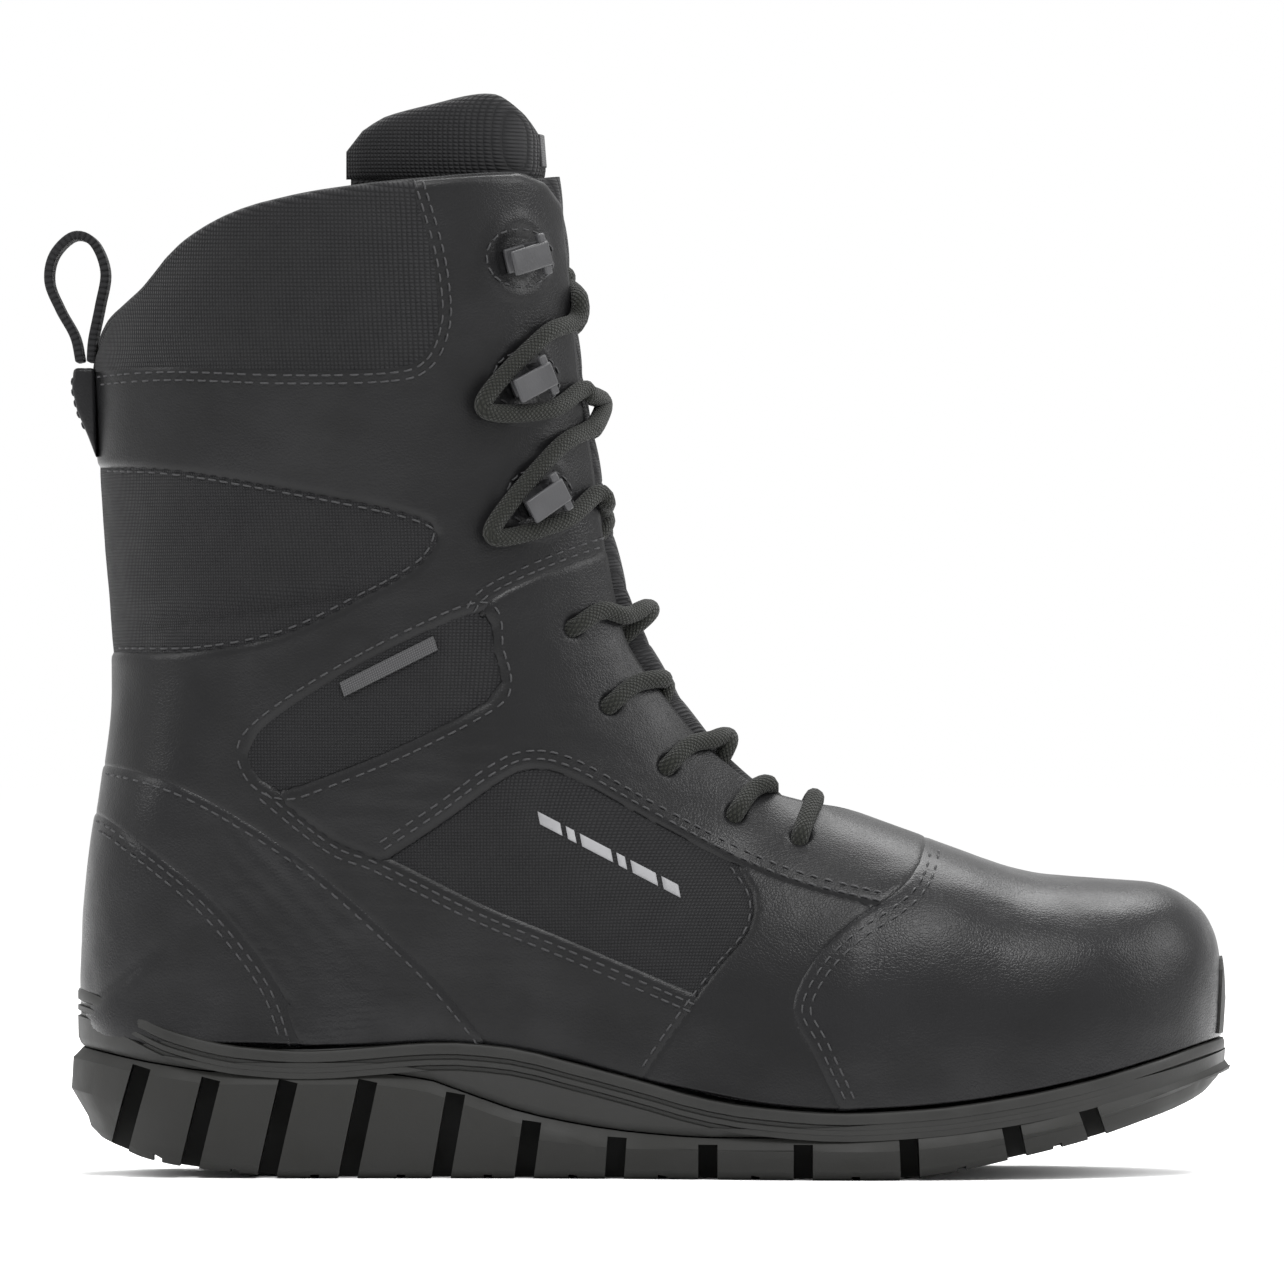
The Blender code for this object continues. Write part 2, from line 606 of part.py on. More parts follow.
def join_cutters(boot, name, walls):
    """One cutter of many walls that cross each other."""
    data = bmesh.new()
    for wall in walls:
        data.from_mesh(wall.data)
        bpy.data.objects.remove(wall, do_unlink=True)
    data.transform(Matrix.Scale(1 / MM, 4))
    return boot.as_cutter(boot.add_bmesh(name, "leather", data))


def collar_cutter(boot, name, drop=0.0):
    """Everything above the collar's top edge."""
    line = smooth_points(COLLAR_TOP, 9.0)
    outline = [(p[0], p[1] - drop) for p in line] + [(-8, 320), (-158, 320)]
    data = bmesh.new()
    rows = [[data.verts.new((x, y, z)) for x, z in outline] for y in (-75, 75)]
    for row in rows:
        data.faces.new(row)
    grid_faces(data, [row + row[:1] for row in rows], False)
    face_outwards(data)
    return boot.as_cutter(boot.add_bmesh(name, "leather", data))


def hole_cutter(boot, name, rib, half, side, radius, length=16.0):
    place, normal = on_rib(rib, half, side)
    data = bmesh.new()
    bmesh.ops.create_cone(data, cap_ends=True, segments=10, radius1=radius, radius2=radius,
                          depth=length)
    data.transform(normal.to_track_quat("Z", "Y").to_matrix().to_4x4())
    data.transform(Matrix.Translation(place))
    return boot.as_cutter(boot.add_bmesh(name, "leather", data))


def islands(mesh_data):
    """Groups of vertices that hang together."""
    left = set(mesh_data.verts)
    while left:
        group, stack = set(), [left.pop()]
        while stack:
            vert = stack.pop()
            group.add(vert)
            for edge in vert.link_edges:
                other = edge.other_vert(vert)
                if other in left:
                    left.discard(other)
                    stack.append(other)
        yield group


def split_panels(boot, shell):
    """Make one object of each piece that the seams cut the shell into."""
    whole = bmesh.new()
    whole.from_mesh(shell.data)
    whole.transform(Matrix.Scale(1 / MM, 4))
    pieces = []
    for group in islands(whole):
        piece = whole.copy()
        keep = {v.index for v in group}
        spare = [v for v in piece.verts if v.index not in keep]
        bmesh.ops.delete(piece, geom=spare, context="VERTS")
        pieces.append((BVHTree.FromBMesh(piece), piece))
    for name, (material, x, z, side) in PANELS.items():
        probe = Vector((x, side * 90.0, z))
        hits = []
        for tree, piece in pieces:
            place = tree.ray_cast(probe, Vector((0, -side, 0)))[0]
            if place:
                hits.append(((place - probe).length, piece))
        distance, nearest = min(hits, key=lambda hit: hit[0])
        boot.add_bmesh(name, material, nearest.copy())
    for _, piece in pieces:
        piece.free()
    whole.free()
    bpy.data.objects.remove(shell, do_unlink=True)


def shell_stations():
    toe = [0, 0.5, 1, 1.5, 2.1, 2.8, 3.6, 4.5, 5.4, 6.3, 7.3, THROAT_RIB]
    leg = [8.6, 9.4, 10.4, 11.4, 12.4, 13.3, 14.0, 14.6, 15.2, 15.7, 16.2, 16.8, 17.5, 18.3]
    return toe + leg + [19.2, 20.2, 21.2, 22.2, 23.2, 24.1, LAST_RIB]


def make_upper(boot):
    sheet = upper_sheet(shell_stations(), 11, facing_gap)
    shell = boot.add_bmesh("upper_shell", "leather", sheet)
    solidify(shell, LEATHER)
    walls = [wall_cutter(boot, f"seam_{name}", points) for name, points in SEAMS.items()]
    walls.append(wall_cutter(boot, "seam_ankle_mesh", ANKLE_MESH_LOOP, closed=True))
    walls.append(collar_cutter(boot, "above_collar"))
    for low, high in BACK_SEAMS:
        size = (30, SEAM, high - low)
        place = (-145, 0, (low + high) / 2)
        walls.append(box_cutter(boot, f"back_seam_{low:.0f}", size, place))
    for side, word in ((LATERAL, "lateral"), (MEDIAL, "medial")):
        for i, (rib, half) in enumerate(EYELETS):
            name = f"eyelet_{word}_{i}"
            walls.append(hole_cutter(boot, name, rib, half, side, EYELET_RADIUS))
    boolean(shell, join_cutters(boot, "seams", walls)).use_self = True
    split_panels(boot, apply_modifiers(shell))


def make_lining(boot):
    def clear_of_lace(rib):
        return facing_gap(rib) + 17.0 * float(smoothstep(THROAT_RIB - 0.9, THROAT_RIB, rib))

    sheet = upper_sheet(shell_stations(), 9, clear_of_lace, depth=lining_depth)
    lining = boot.add_bmesh("lining", "lining", sheet)
    solidify(lining, LINING)
    boolean(lining, collar_cutter(boot, "above_lining", 1.0))


def make_toe_cap(boot):
    """Pressed steel cap between the toe's vamp and the lining."""
    stations = [rib for rib in shell_stations() if rib < 6.4]
    sheet = upper_sheet(stations, 11, depth=lambda _: LEATHER + GAP)
    cap = boot.add_bmesh("steel_toe_cap", "steel", sheet)
    solidify(cap, CAP_THICKNESS)


def make_stiffener(boot):
    """Moulded heel counter between the lining and the counter cover."""
    stations = [rib for rib in shell_stations() if 14.3 < rib < 17.7]
    sheet = upper_sheet(stations, 9, back_of=(-91.5, 86.5), depth=lambda _: LEATHER + 8 * GAP)
    stiffener = boot.add_bmesh("heel_stiffener", "board", sheet)
    solidify(stiffener, STIFFENER)
    boolean(stiffener, box_cutter(boot, "stiffener_foot", (80, 90, 20), (-120, 0, 37)))


def make_collar_foam(boot):
    sheet = upper_sheet((23.65, 24.1, LAST_RIB), 11, back_of=(-67.5, 400.0),
                        depth=lambda _: LEATHER + 5 * GAP)
    foam = boot.add_bmesh("collar_foam", "foam", sheet)
    solidify(foam, COLLAR_FOAM)
    boolean(foam, collar_cutter(boot, "above_foam", 3.0))


# ---------------------------------------------------------------- tongue

def tongue_depth(point):
    """The tongue is crowned in the middle and lies lower under the facings."""
    off = abs(point.y - centre(point.x, point.z))
    low = 2.9 * float(smoothstep(2, 12, off)) + 2.6 * float(smoothstep(16, 21, off))
    return 6.2 + low


def make_tongue(boot):
    def edge(rib):
        return 21.0 + 7.0 * (rib - 7.7) / 17.0

    stations = [7.7, 8.3, *np.arange(9, 24.6, 0.95)]
    sheet = upper_sheet(stations, 6, end=edge, depth=tongue_depth)
    tongue = boot.add_bmesh("tongue", "textile", sheet)
    solidify(tongue, TONGUE_THICKNESS)
    return tongue


def tongue_top_line(x):
    """Top edge of the tongue's padded top, from its wings to its front."""
    return height(((-78, 266), (-74.9, 270.8), (-70, 275), (-50, 280.5), (-36, 283.2),
                   (-29, 279), (-24, 272)), x)


def make_tongue_top(boot):
    """Padded U round the front of the leg, with wings that reach back."""
    data = bmesh.new()
    rows = []
    reach, half, low = 52.0, 31.0, 262.9
    turns = np.linspace(-math.pi / 2, math.pi / 2, 15)
    for share in (0.0, 0.35, 0.7, 1.0):
        row = []
        for turn in turns:
            x = -76.5 + reach * math.cos(turn) ** 0.8 - 1.6 * share
            y = half * math.copysign(abs(math.sin(turn)) ** 0.9, turn)
            z = low + (tongue_top_line(x) - low) * share
            row.append(data.verts.new((x, y, z)))
        rows.append(row)
    grid_faces(data, rows, False)
    top = boot.add_bmesh("tongue_top", "textile", data)
    solidify(top, TONGUE_TOP_THICKNESS)
    return top


def make_tongue_tab(boot):
    """Small woven tab on the front of the tongue's top."""
    data = bmesh.new()
    rows = [[data.verts.new((-24.1 - 1.6 * (z - 263) / 20 - y * y * 0.016, y, z))
             for y in (-9, -4.5, 0, 4.5, 9)] for z in (264.5, 269, 273)]
    grid_faces(data, rows, False)
    tab = boot.add_bmesh("tongue_tab", "label", data)
    solidify(tab, 0.7, 1.0)
    return tab


# ---------------------------------------------------------------- trim

def make_side_tab(boot):
    """Small woven tab sewn into the seam above the ankle mesh, on the lateral side."""
    data = bmesh.new()
    low, along, up = Vector((-76.6, 0, 126.4)), Vector((24.2, 0, 11.9)), Vector((-1.8, 0, 3.8))
    rows = []
    for j in range(2):
        row = []
        for i in range(5):
            spot = low + along * (i / 4) + up * j
            row.append(data.verts.new((spot.x, lateral_face(spot.x, spot.z) - 2 * GAP, spot.z)))
        rows.append(row)
    grid_faces(data, rows, False)
    tab = boot.add_bmesh("side_tab", "label", data)
    solidify(tab, 0.7, 1.0)


def lateral_face(x, z):
    """Y of the upper's lateral face at a place in the side view."""
    best = None
    for rib in np.arange(0, LAST_RIB, 0.1):
        points, _ = rib_curve(rib, LATERAL)
        gaps = (points[:, 0] - x) ** 2 + (points[:, 2] - z) ** 2
        i = int(np.argmin(gaps))
        if best is None or gaps[i] < best[0]:
            best = (gaps[i], points[i, 1])
    return best[1]


def make_hook(boot, name, rib, half, side):
    """Speed hook: base plate, neck at its front and an outer plate that reaches back."""
    place, normal = on_rib(rib, half, side)
    back = on_rib(rib, half + 2.0, side)[0] - on_rib(rib, half - 2.0, side)[0]
    back = (back - normal * back.dot(normal)).normalized()
    up = normal.cross(back) * -side
    low, high, plate = 3 * GAP, HOOK_HEIGHT, 1.3
    front, neck = -4.0, -1.6
    outline = ((front, low), (5.0, low), (5.0, low + plate), (neck, low + plate),
               (neck, high - plate), (HOOK_LENGTH + front, high - plate),
               (HOOK_LENGTH + front, high), (front, high))
    data = bmesh.new()
    rows = []
    for shift in (-HOOK_WIDTH / 2, HOOK_WIDTH / 2):
        rows.append([data.verts.new(place + back * a + normal * n + up * shift)
                     for a, n in outline])
    for row in rows:
        data.faces.new(row)
    grid_faces(data, [row + row[:1] for row in rows], False)
    face_outwards(data)
    hook = boot.add_bmesh(name, "hook", data)
    ears = bmesh.new()
    bmesh.ops.create_cube(ears, size=1.0)
    ears.transform(Matrix.Diagonal((2.4, 11.0, 1.9, 1.0)))
    frame = Matrix((back, up, normal)).transposed().to_4x4()
    ears.transform(frame)
    ears.transform(Matrix.Translation(place + back * (front + 1.6) + normal * (high - 1.3)))
    face_outwards(ears)
    boolean(hook, boot.as_cutter(boot.add_bmesh(name + "_ears", "hook", ears)), "UNION")


def make_pull_loop(boot):
    """Webbing loop at the back of the collar, and the folded tab that it is sewn under."""
    path = ((-144.0, 213.2), (-143.6, 219), (-141.8, 228), (-140.4, 237), (-143.4, 244.6),
            (-148.6, 246.4), (-153.8, 241.5), (-155.1, 234.4), (-152.2, 227), (-148.4, 220),
            (-146.9, 213.2))
    data = bmesh.new()
    line = smooth_points(path, 5.0)
    rows = [[data.verts.new((x, y, z)) for x, z in line]
            for y in (-LOOP_WIDTH / 2, LOOP_WIDTH / 2)]
    grid_faces(data, rows, False)
    loop = boot.add_bmesh("pull_loop", "textile", data)
    solidify(loop, LOOP_THICKNESS, 0.0)
    outline = ((-142.4, 187.6), (-142.8, 211.6), (-148.5, 211.6), (-148.9, 206.4),
               (-147.6, 200.4), (-144.6, 193.4))
    anchor = bmesh.new()
    rows = [[anchor.verts.new((x, y, z)) for x, z in outline] for y in (-10, 10)]
    for row in rows:
        anchor.faces.new(row)
    grid_faces(anchor, [row + row[:1] for row in rows], False)
    face_outwards(anchor)
    boot.add_bmesh("pull_loop_anchor", "leather", anchor)
    return loop


# ---------------------------------------------------------------- lace

def lace_route():
    """Route of one strand, as (rib, half-width, lift), from the bottom bar to its end.

    A negative half-width is on the side where the strand starts.
    """
    over, under, tucked = 3.5, -5.4, -7.4
    route = [(8.9, 0.0, 1.2), (8.95, -9.5, over)]
    side = -1
    for k, (rib, half) in enumerate(EYELETS):
        if k > 0:
            route.append((rib - 0.12, side * (half - 5.5), over))
        route += [(rib, side * half, 2.4), (rib, side * half, -4.6)]
        route.append((rib + 0.12, side * (half - 5), under))
        after = EYELETS[k + 1] if k + 1 < len(EYELETS) else HOOKS[0]
        middle = (rib + after[0]) / 2
        reach = (after[0] - rib) / 2
        crown = 2.9 if k % 2 else -2.5
        edge = facing_gap(middle) - 1.0
        route += [(middle - 0.35 * reach, side * edge, under),
                  (middle - 0.1 * reach, side * 4.0, crown),
                  (middle + 0.1 * reach, -side * 4.0, crown)]
        side = -side
        route.append((middle + 0.35 * reach, side * edge, over))
    for k, (rib, half) in enumerate(HOOKS[:2]):
        step = LACE_STEP / 10.5 if k == 0 else LACE_STEP / 13.0
        route += [(rib - step, side * (FACING_GAP + 2), over),
                  (rib - step, side * (half - 2), 5.2), (rib, side * (half + 7.0), 5.7),
                  (rib + step, side * (half - 2), 5.2), (rib + step, side * (FACING_GAP + 2), over)]
        middle = (rib + HOOKS[k + 1][0]) / 2 if k == 0 else rib + 1.4
        crown = -2.5 if k else 2.9
        edge = FACING_GAP - 1.0
        route += [(middle - 0.35, side * edge, over), (middle - 0.1, side * 4.0, crown),
                  (middle + 0.1, -side * 4.0, crown)]
        side = -side
        if k == 0:
            route.append((middle + 0.35, side * edge, over))
    route += [(22.6, side * (FACING_GAP - 2), under), (22.6, side * 18.0, -6.2),
              (22.0, side * 22.5, tucked), (21.0, side * 24.0, tucked),
              (19.0, side * 23.5, tucked), (17.4, side * 23.0, tucked)]
    return route


def strand_points(first_side):
    points = []
    for rib, half, lift in lace_route():
        side = first_side if half < 0 else -first_side
        points.append(on_rib(rib, abs(half), side, lift)[0])
    return points


def make_lace(boot):
    strands = [strand_points(side) for side in (LATERAL, MEDIAL)]
    whole = strands[0][::-1] + strands[1][1:]
    line = smooth_points(whole, 18.0)
    curve = bpy.data.curves.new("lace", "CURVE")
    curve.dimensions = "3D"
    curve.bevel_depth = LACE_DIAMETER / 2 * MM
    curve.bevel_resolution = 2
    curve.use_fill_caps = True
    spline = curve.splines.new("POLY")
    spline.points.add(len(line) - 1)
    for point, place in zip(spline.points, line):
        point.co = (*(Vector(place) * MM), 1.0)
    curve.materials.append(boot.materials["lace"])
    boot.parts.objects.link(bpy.data.objects.new("lace", curve))


# ---------------------------------------------------------------- assembly

def make_all(boot):
    make_outsole(boot)
    make_midsole(boot)
    make_sole_layers(boot)
    make_toe_bumper(boot)
    make_upper(boot)
    make_lining(boot)
    make_toe_cap(boot)
    make_stiffener(boot)
    make_collar_foam(boot)
    make_side_tab(boot)
    tongue = make_tongue(boot)
    top = make_tongue_top(boot)
    tab = make_tongue_tab(boot)
    loop = make_pull_loop(boot)
    for side, word in ((LATERAL, "lateral"), (MEDIAL, "medial")):
        for i, (rib, half) in enumerate(HOOKS):
            make_hook(boot, f"lace_hook_{word}_{i + 1}", rib, half, side)
    make_lace(boot)
    boot.hang_on_axis("tongue_axis", TONGUE_PIVOT, [tongue])
    boot.hang_on_axis("tongue_top_axis", TOP_FOLD_PIVOT, [top, tab])
    boot.hang_on_axis("pull_loop_axis", LOOP_PIVOT, [loop])


clear_scene()
make_all(Boot())
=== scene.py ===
"""Looks of the steel toe work boot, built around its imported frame.

Shapes are worked out in millimetres, with the toe along +X, and written in metres by MM.
"""
import math

import bmesh
import bpy
import numpy as np
from mathutils import Matrix, Vector, noise
from mathutils.bvhtree import BVHTree


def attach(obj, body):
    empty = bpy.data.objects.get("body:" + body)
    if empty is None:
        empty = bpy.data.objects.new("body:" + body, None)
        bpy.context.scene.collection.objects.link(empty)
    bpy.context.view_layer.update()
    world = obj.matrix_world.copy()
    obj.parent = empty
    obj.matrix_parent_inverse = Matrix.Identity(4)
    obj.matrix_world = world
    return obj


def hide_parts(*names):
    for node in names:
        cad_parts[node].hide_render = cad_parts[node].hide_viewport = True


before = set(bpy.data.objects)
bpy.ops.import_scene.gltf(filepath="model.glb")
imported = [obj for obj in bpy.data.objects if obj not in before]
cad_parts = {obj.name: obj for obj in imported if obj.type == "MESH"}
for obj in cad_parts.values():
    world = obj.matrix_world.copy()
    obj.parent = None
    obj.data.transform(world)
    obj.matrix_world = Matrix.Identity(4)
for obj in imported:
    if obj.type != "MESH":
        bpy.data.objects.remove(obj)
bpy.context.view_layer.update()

MM = 0.001
LATERAL, MEDIAL = -1, 1
BOTH_SIDES = (LATERAL, MEDIAL)
SIDE_WORDS = ((LATERAL, "lateral"), (MEDIAL, "medial"))

# The same driving dimensions as the frame's
TOE_X, HEEL_X = 155.7, -149.3
HEEL_CENTRE_X, TOE_CENTRE_X = -115.0, 95.0
SLOT_X = (-135.4, -115.7, -95.1, -74.1, -50.1, -28.8, -5.9, 17.8, 42.5, 69.9, 97.5, 119.9)
SLOT_LEAN = (16, 14, 13, 12, 10, 8, 4, 0, 0, -3, -12, -20)
UPPER_INSET = 4.6
UPPER_HEEL_X, UPPER_TOE_X = -143.8, 151.2
FEATHER_LIFT = 1.1
THROAT_RIB = 8.15
LAST_RIB = 25.0
FACING_GAP = 14.0
HEEL_RIB = 16.0
LACE_STEP = 8.6
LACE_DIAMETER = 4.8
HOOK_LENGTH, HOOK_WIDTH, HOOK_HEIGHT = 12.9, 6.6, 9.8
PANEL_THICKNESS = 1.7
EYELET_RADIUS = 2.9
COLLAR_SETBACK = 1.8     # of the panels' top edge, under the collar's line
OUTSIDE = 90.0           # sideways place further out than any part of the boot
SOLE_STEPS = 84
TUBE_SIDES = 12
EDGE, HOOK = 6, 7        # columns of a panel's rows that follow its point and its normal

# Rows are (front x, front z, end x, end z, arc a, width w, arc b, width wb, n).
# A rib runs in one plane from the front or top centreline to the feather edge
# or, above the heel, to the back centreline.  Its half-width climbs to w at
# the fraction a, holds, and closes again from the fraction b.
TOE_RIBS = (
    (151.8, 46.0, 151.2), (151.2, 55.0, 150.0), (149.2, 63.2, 147.0),
    (144.8, 69.4, 141.5), (136.0, 74.0, 133.0), (120.0, 75.6, 119.0),
    (100.0, 77.8, 100.0), (80.0, 84.6, 79.0),
)
SOLE_RIBS = (
    (60.0, 91.8, 55.0, 0.90, 47.7, 0.95, 47.7, 2.00),
    (44.3, 97.6, 32.0, 0.85, 41.0, 0.95, 41.8, 1.90),
    (31.4, 103.9, 6.0, 0.80, 35.5, 0.93, 35.2, 1.72),
    (19.6, 115.8, -22.0, 0.66, 34.0, 0.90, 32.6, 1.58),
    (10.5, 128.5, -52.0, 0.52, 35.0, 0.86, 32.8, 1.55),
    (4.0, 140.0, -82.0, 0.44, 36.0, 0.85, 33.4, 1.55),
    (0.2, 147.6, -110.0, 0.39, 37.0, 0.82, 33.2, 1.60),
    (-2.5, 156.5, -134.0, 0.35, 37.6, 0.80, 33.0, 1.66),
)
BACK_RIBS = (
    (-4.6, 165.0, -143.8, 42.0, 0.34, 38.0, 0.79, 33.2, 1.72),
    (-6.6, 174.5, -144.2, 62.0, 0.35, 38.3, 0.78, 33.8, 1.78),
    (-8.6, 184.0, -142.8, 82.0, 0.37, 38.6, 0.76, 34.6, 1.84),
    (-10.4, 193.0, -139.4, 104.0, 0.39, 39.0, 0.72, 35.5, 1.90),
    (-12.6, 204.0, -137.2, 126.0, 0.42, 39.8, 0.66, 37.5, 1.94),
    (-14.4, 217.0, -137.8, 148.0, 0.45, 41.0, 0.60, 39.5, 1.97),
    (-16.0, 230.0, -139.8, 172.0, 0.47, 42.5, 0.57, 42.0, 2.00),
    (-17.4, 243.0, -141.4, 198.0, 0.48, 44.0, 0.54, 44.0, 2.00),
    (-19.0, 256.0, -141.8, 224.0, 0.48, 45.0, 0.53, 45.0, 2.00),
    (-20.5, 268.0, -138.0, 262.0, 0.48, 45.5, 0.53, 45.5, 2.00),
)

# Height lines along the sole: (x, z)
GROUND = ((-152, 13), (-139, 8.7), (-128.8, 4.9), (-115, 2.4), (-100, 0.9), (-86, 0), (64, 0),
          (80, 1.8), (97, 5.4), (116, 10), (130, 14.4), (143, 18.8), (157, 26))
PARTING = ((-152, 34.2), (-145, 33.2), (-125, 29.6), (-108, 27.6), (-72, 27.6), (-55, 25.6),
           (-44, 21.8), (-28, 16.6), (0, 12), (20, 10.8), (42, 11), (70, 12.8), (97, 16),
           (121, 21.6), (140, 26), (157, 31))
BOARD = ((-152, 35.6), (-130, 35.2), (-108, 34), (-87, 33.6), (-50, 35.6), (-34, 34.3),
         (-18, 30.5), (0, 25.8), (16, 21.4), (30, 19.1), (53, 17.6), (75, 18.7), (95, 21.3),
         (115, 25.3), (134, 30.5), (148, 34.6), (157, 36.6))
RIM = ((-152, 49.4), (-146, 48.8), (-136, 45), (-122, 38.6), (-104, 34.5), (-87, 33.4))

# Seams as the side view shows them: listed points (x, z)
SEAMS = {
    "vamp": ((56, 8), (52.8, 17.6), (45.4, 33.4), (40.4, 44.2), (45.4, 55.8), (55.1, 65.8),
             (64.9, 72.1), (70.9, 77.4), (74.2, 85), (74.8, 96)),
    "side_panel": ((24.3, 83.4), (30.2, 74), (29.3, 64.2), (20.7, 53.7), (10.1, 39.7), (1.4, 26.6),
                   (-3, 16)),
    "mesh_top": ((-67.3, 83.0), (-50.1, 94.5), (-37, 104), (-28.6, 107.4), (-18, 105.3),
                 (1.4, 94.5), (25.1, 82.1), (42.2, 75.5), (62.7, 70.5)),
    "quarter_line": ((16.3, 46.6), (-4.1, 55.3), (-20.1, 62.1), (-41.4, 70.8), (-66.7, 83.4),
                     (-79.1, 88.4), (-94.6, 100.4), (-97, 103)),
    "heel_band": ((-156, 107.2), (-138.8, 106.8), (-119.9, 101.8), (-98.6, 90), (-82.2, 78.4),
                  (-65.1, 63.2), (-52.2, 50.3), (-39.9, 35), (-34, 26)),
    "counter": ((-156, 95.2), (-142, 94.5), (-130.7, 87.9), (-114.6, 75), (-102.8, 62.1),
                (-94.1, 49.2), (-88.8, 33.7), (-87, 24)),
    "shaft_mesh": ((-156, 186.6), (-140.9, 186.4), (-119.9, 185), (-93, 180.5), (-66.2, 175.3),
                   (-54.3, 171.6), (-51.7, 167.4), (-56.7, 159.2), (-73.8, 149.5), (-93, 140.8),
                   (-114.6, 136.6), (-137.2, 136.3), (-156, 136.3)),
    "collar": ((-156, 210), (-125.4, 211.8), (-93, 210.8), (-66.2, 211.3), (-57, 214),
               (-53.3, 222.4), (-53.3, 231.1), (-55.4, 243), (-61, 262), (-63, 272)),
    "facing": ((-42.6, 144.6), (-38.6, 150.2), (-28.6, 155.5), (-12.8, 161.8), (6, 167)),
}
ANKLE_MESH_LOOP = ((-102.8, 110.5), (-99.6, 116.8), (-84.6, 127.6), (-60.9, 140.5),
                   (-40.4, 148.2), (-37.2, 137.4), (-35.3, 129), (-39.3, 123.4), (-60.9, 112.1),
                   (-82.2, 103.4), (-92, 100.6), (-99.5, 103.6))
COLLAR_TOP = ((-158, 206), (-147, 211), (-141.4, 219.2), (-138.3, 225.8), (-130.7, 232.1),
              (-119.9, 243.9), (-103.8, 252.6), (-82.2, 257.4), (-55.4, 260.5), (-30.9, 262.4),
              (-24, 260), (-18.6, 253), (-8, 246))

# Lace holes and hooks on the facing: (rib, half-width there)
EYELETS = ((9.05, 20.6), (10.2, 17.5), (11.45, 19.5), (12.9, 22.6), (15.1, 24.6))
HOOKS = ((18.65, 28.2), (21.0, 28.6), (23.15, 28.9))


def through(rows, t):
    """Catmull-Rom value at t of equally spaced rows; whole t gives a row itself."""
    rows = np.asarray(rows, dtype=float)
    last = len(rows) - 1
    i = min(int(t), last - 1)
    f = t - i
    p1, p2 = rows[i], rows[i + 1]
    p0 = rows[i - 1] if i > 0 else 2 * p1 - p2
    p3 = rows[i + 2] if i + 2 <= last else 2 * p2 - p1
    bend = 2 * p0 - 5 * p1 + 4 * p2 - p3
    twist = 3 * p1 - p0 - 3 * p2 + p3
    return p1 + 0.5 * f * (p2 - p0 + f * (bend + f * twist))


def smooth_points(points, step, closed=False):
    """Points about one step apart on a smooth curve through the given ones."""
    rows = [np.asarray(p, dtype=float) for p in points]
    if closed:
        rows = [rows[-1], *rows, rows[0], rows[1]]
    first = 1 if closed else 0
    spans = len(points) if closed else len(points) - 1
    result = []
    for i in range(first, first + spans):
        pieces = max(1, round(float(np.linalg.norm(rows[i + 1] - rows[i])) / step))
        result += [through(rows, i + k / pieces) for k in range(pieces)]
    if not closed:
        result.append(rows[-1])
    return result


def height(line, x):
    """Height of a line at x, smooth and without overshoot between its points."""
    xs, zs = zip(*line)
    x = min(max(x, xs[0]), xs[-1])
    i = min(int(np.searchsorted(xs, x, side="right")) - 1, len(xs) - 2)
    slope = [(zs[k + 1] - zs[k]) / (xs[k + 1] - xs[k]) for k in range(len(xs) - 1)]

    def tangent(k):
        if k == 0 or k == len(xs) - 1 or slope[k - 1] * slope[k] <= 0:
            return 0.0 if 0 < k < len(xs) - 1 else slope[min(k, len(slope) - 1)]
        return 2 * slope[k - 1] * slope[k] / (slope[k - 1] + slope[k])

    span = xs[i + 1] - xs[i]
    f = (x - xs[i]) / span
    rise = zs[i] * (1 + 2 * f) * (1 - f) ** 2 + zs[i + 1] * f * f * (3 - 2 * f)
    return rise + span * (tangent(i) * f * (1 - f) ** 2 - tangent(i + 1) * f * f * (1 - f))


def smoothstep(low, high, value):
    """Smooth rise from 0 at low to 1 at high, of a number or an array."""
    f = np.clip((value - low) / (high - low), 0.0, 1.0)
    return f * f * (3 - 2 * f)


def ease(low, high, value):
    return float(smoothstep(low, high, value))


HALF_WIDTH = ((-115, 37.6), (-96, 38.7), (-62, 36.4), (-30, 35.5), (0, 38.5), (30, 46),
              (55, 52), (78, 53.6), (95, 53.2))
CENTRE = ((-150, -1.8), (-96, -2.1), (-60, -4), (-30, -5.3), (0, -6.2), (30, -5.4), (55, -3),
          (80, -0.1), (105, 2.4), (125, 3.8), (140, 4.6), (156, 5))


def half_width(x, inset=0.0, heel_x=HEEL_X, toe_x=TOE_X):
    """Half-width of the sole's outline at x, elliptical round the heel and the toe."""
    middle = height(HALF_WIDTH, x) - inset
    if x < HEEL_CENTRE_X:
        reach = (HEEL_CENTRE_X - x) / (HEEL_CENTRE_X - heel_x)
        return middle * math.sqrt(max(0.0, 1 - reach ** 2))
    if x > TOE_CENTRE_X:
        reach = (x - TOE_CENTRE_X) / (toe_x - TOE_CENTRE_X)
        return middle * max(0.0, 1 - reach ** 2.15) ** 0.5
    return middle


def centre(x, z=0.0):
    """Sideways place of the boot's centreline: the foot curves, the shaft is straight."""
    return height(CENTRE, x) * (1 - ease(50, 150, z))


def rib_rows():
    rows = []
    for front_x, front_z, end_x in TOE_RIBS:
        wide = half_width(end_x, UPPER_INSET, UPPER_HEEL_X, UPPER_TOE_X)
        end_z = height(BOARD, end_x) + FEATHER_LIFT
        rows.append((front_x, front_z, end_x, end_z, 0.90, wide, 0.95, wide, 2.45))
    for front_x, front_z, end_x, *shape in SOLE_RIBS:
        rows.append((front_x, front_z, end_x, height(BOARD, end_x) + FEATHER_LIFT, *shape))
    rows.extend(BACK_RIBS)
    return np.asarray(rows)


RIBS = rib_rows()
SECTION = (1 - np.cos(np.linspace(0, math.pi, 193))) / 2


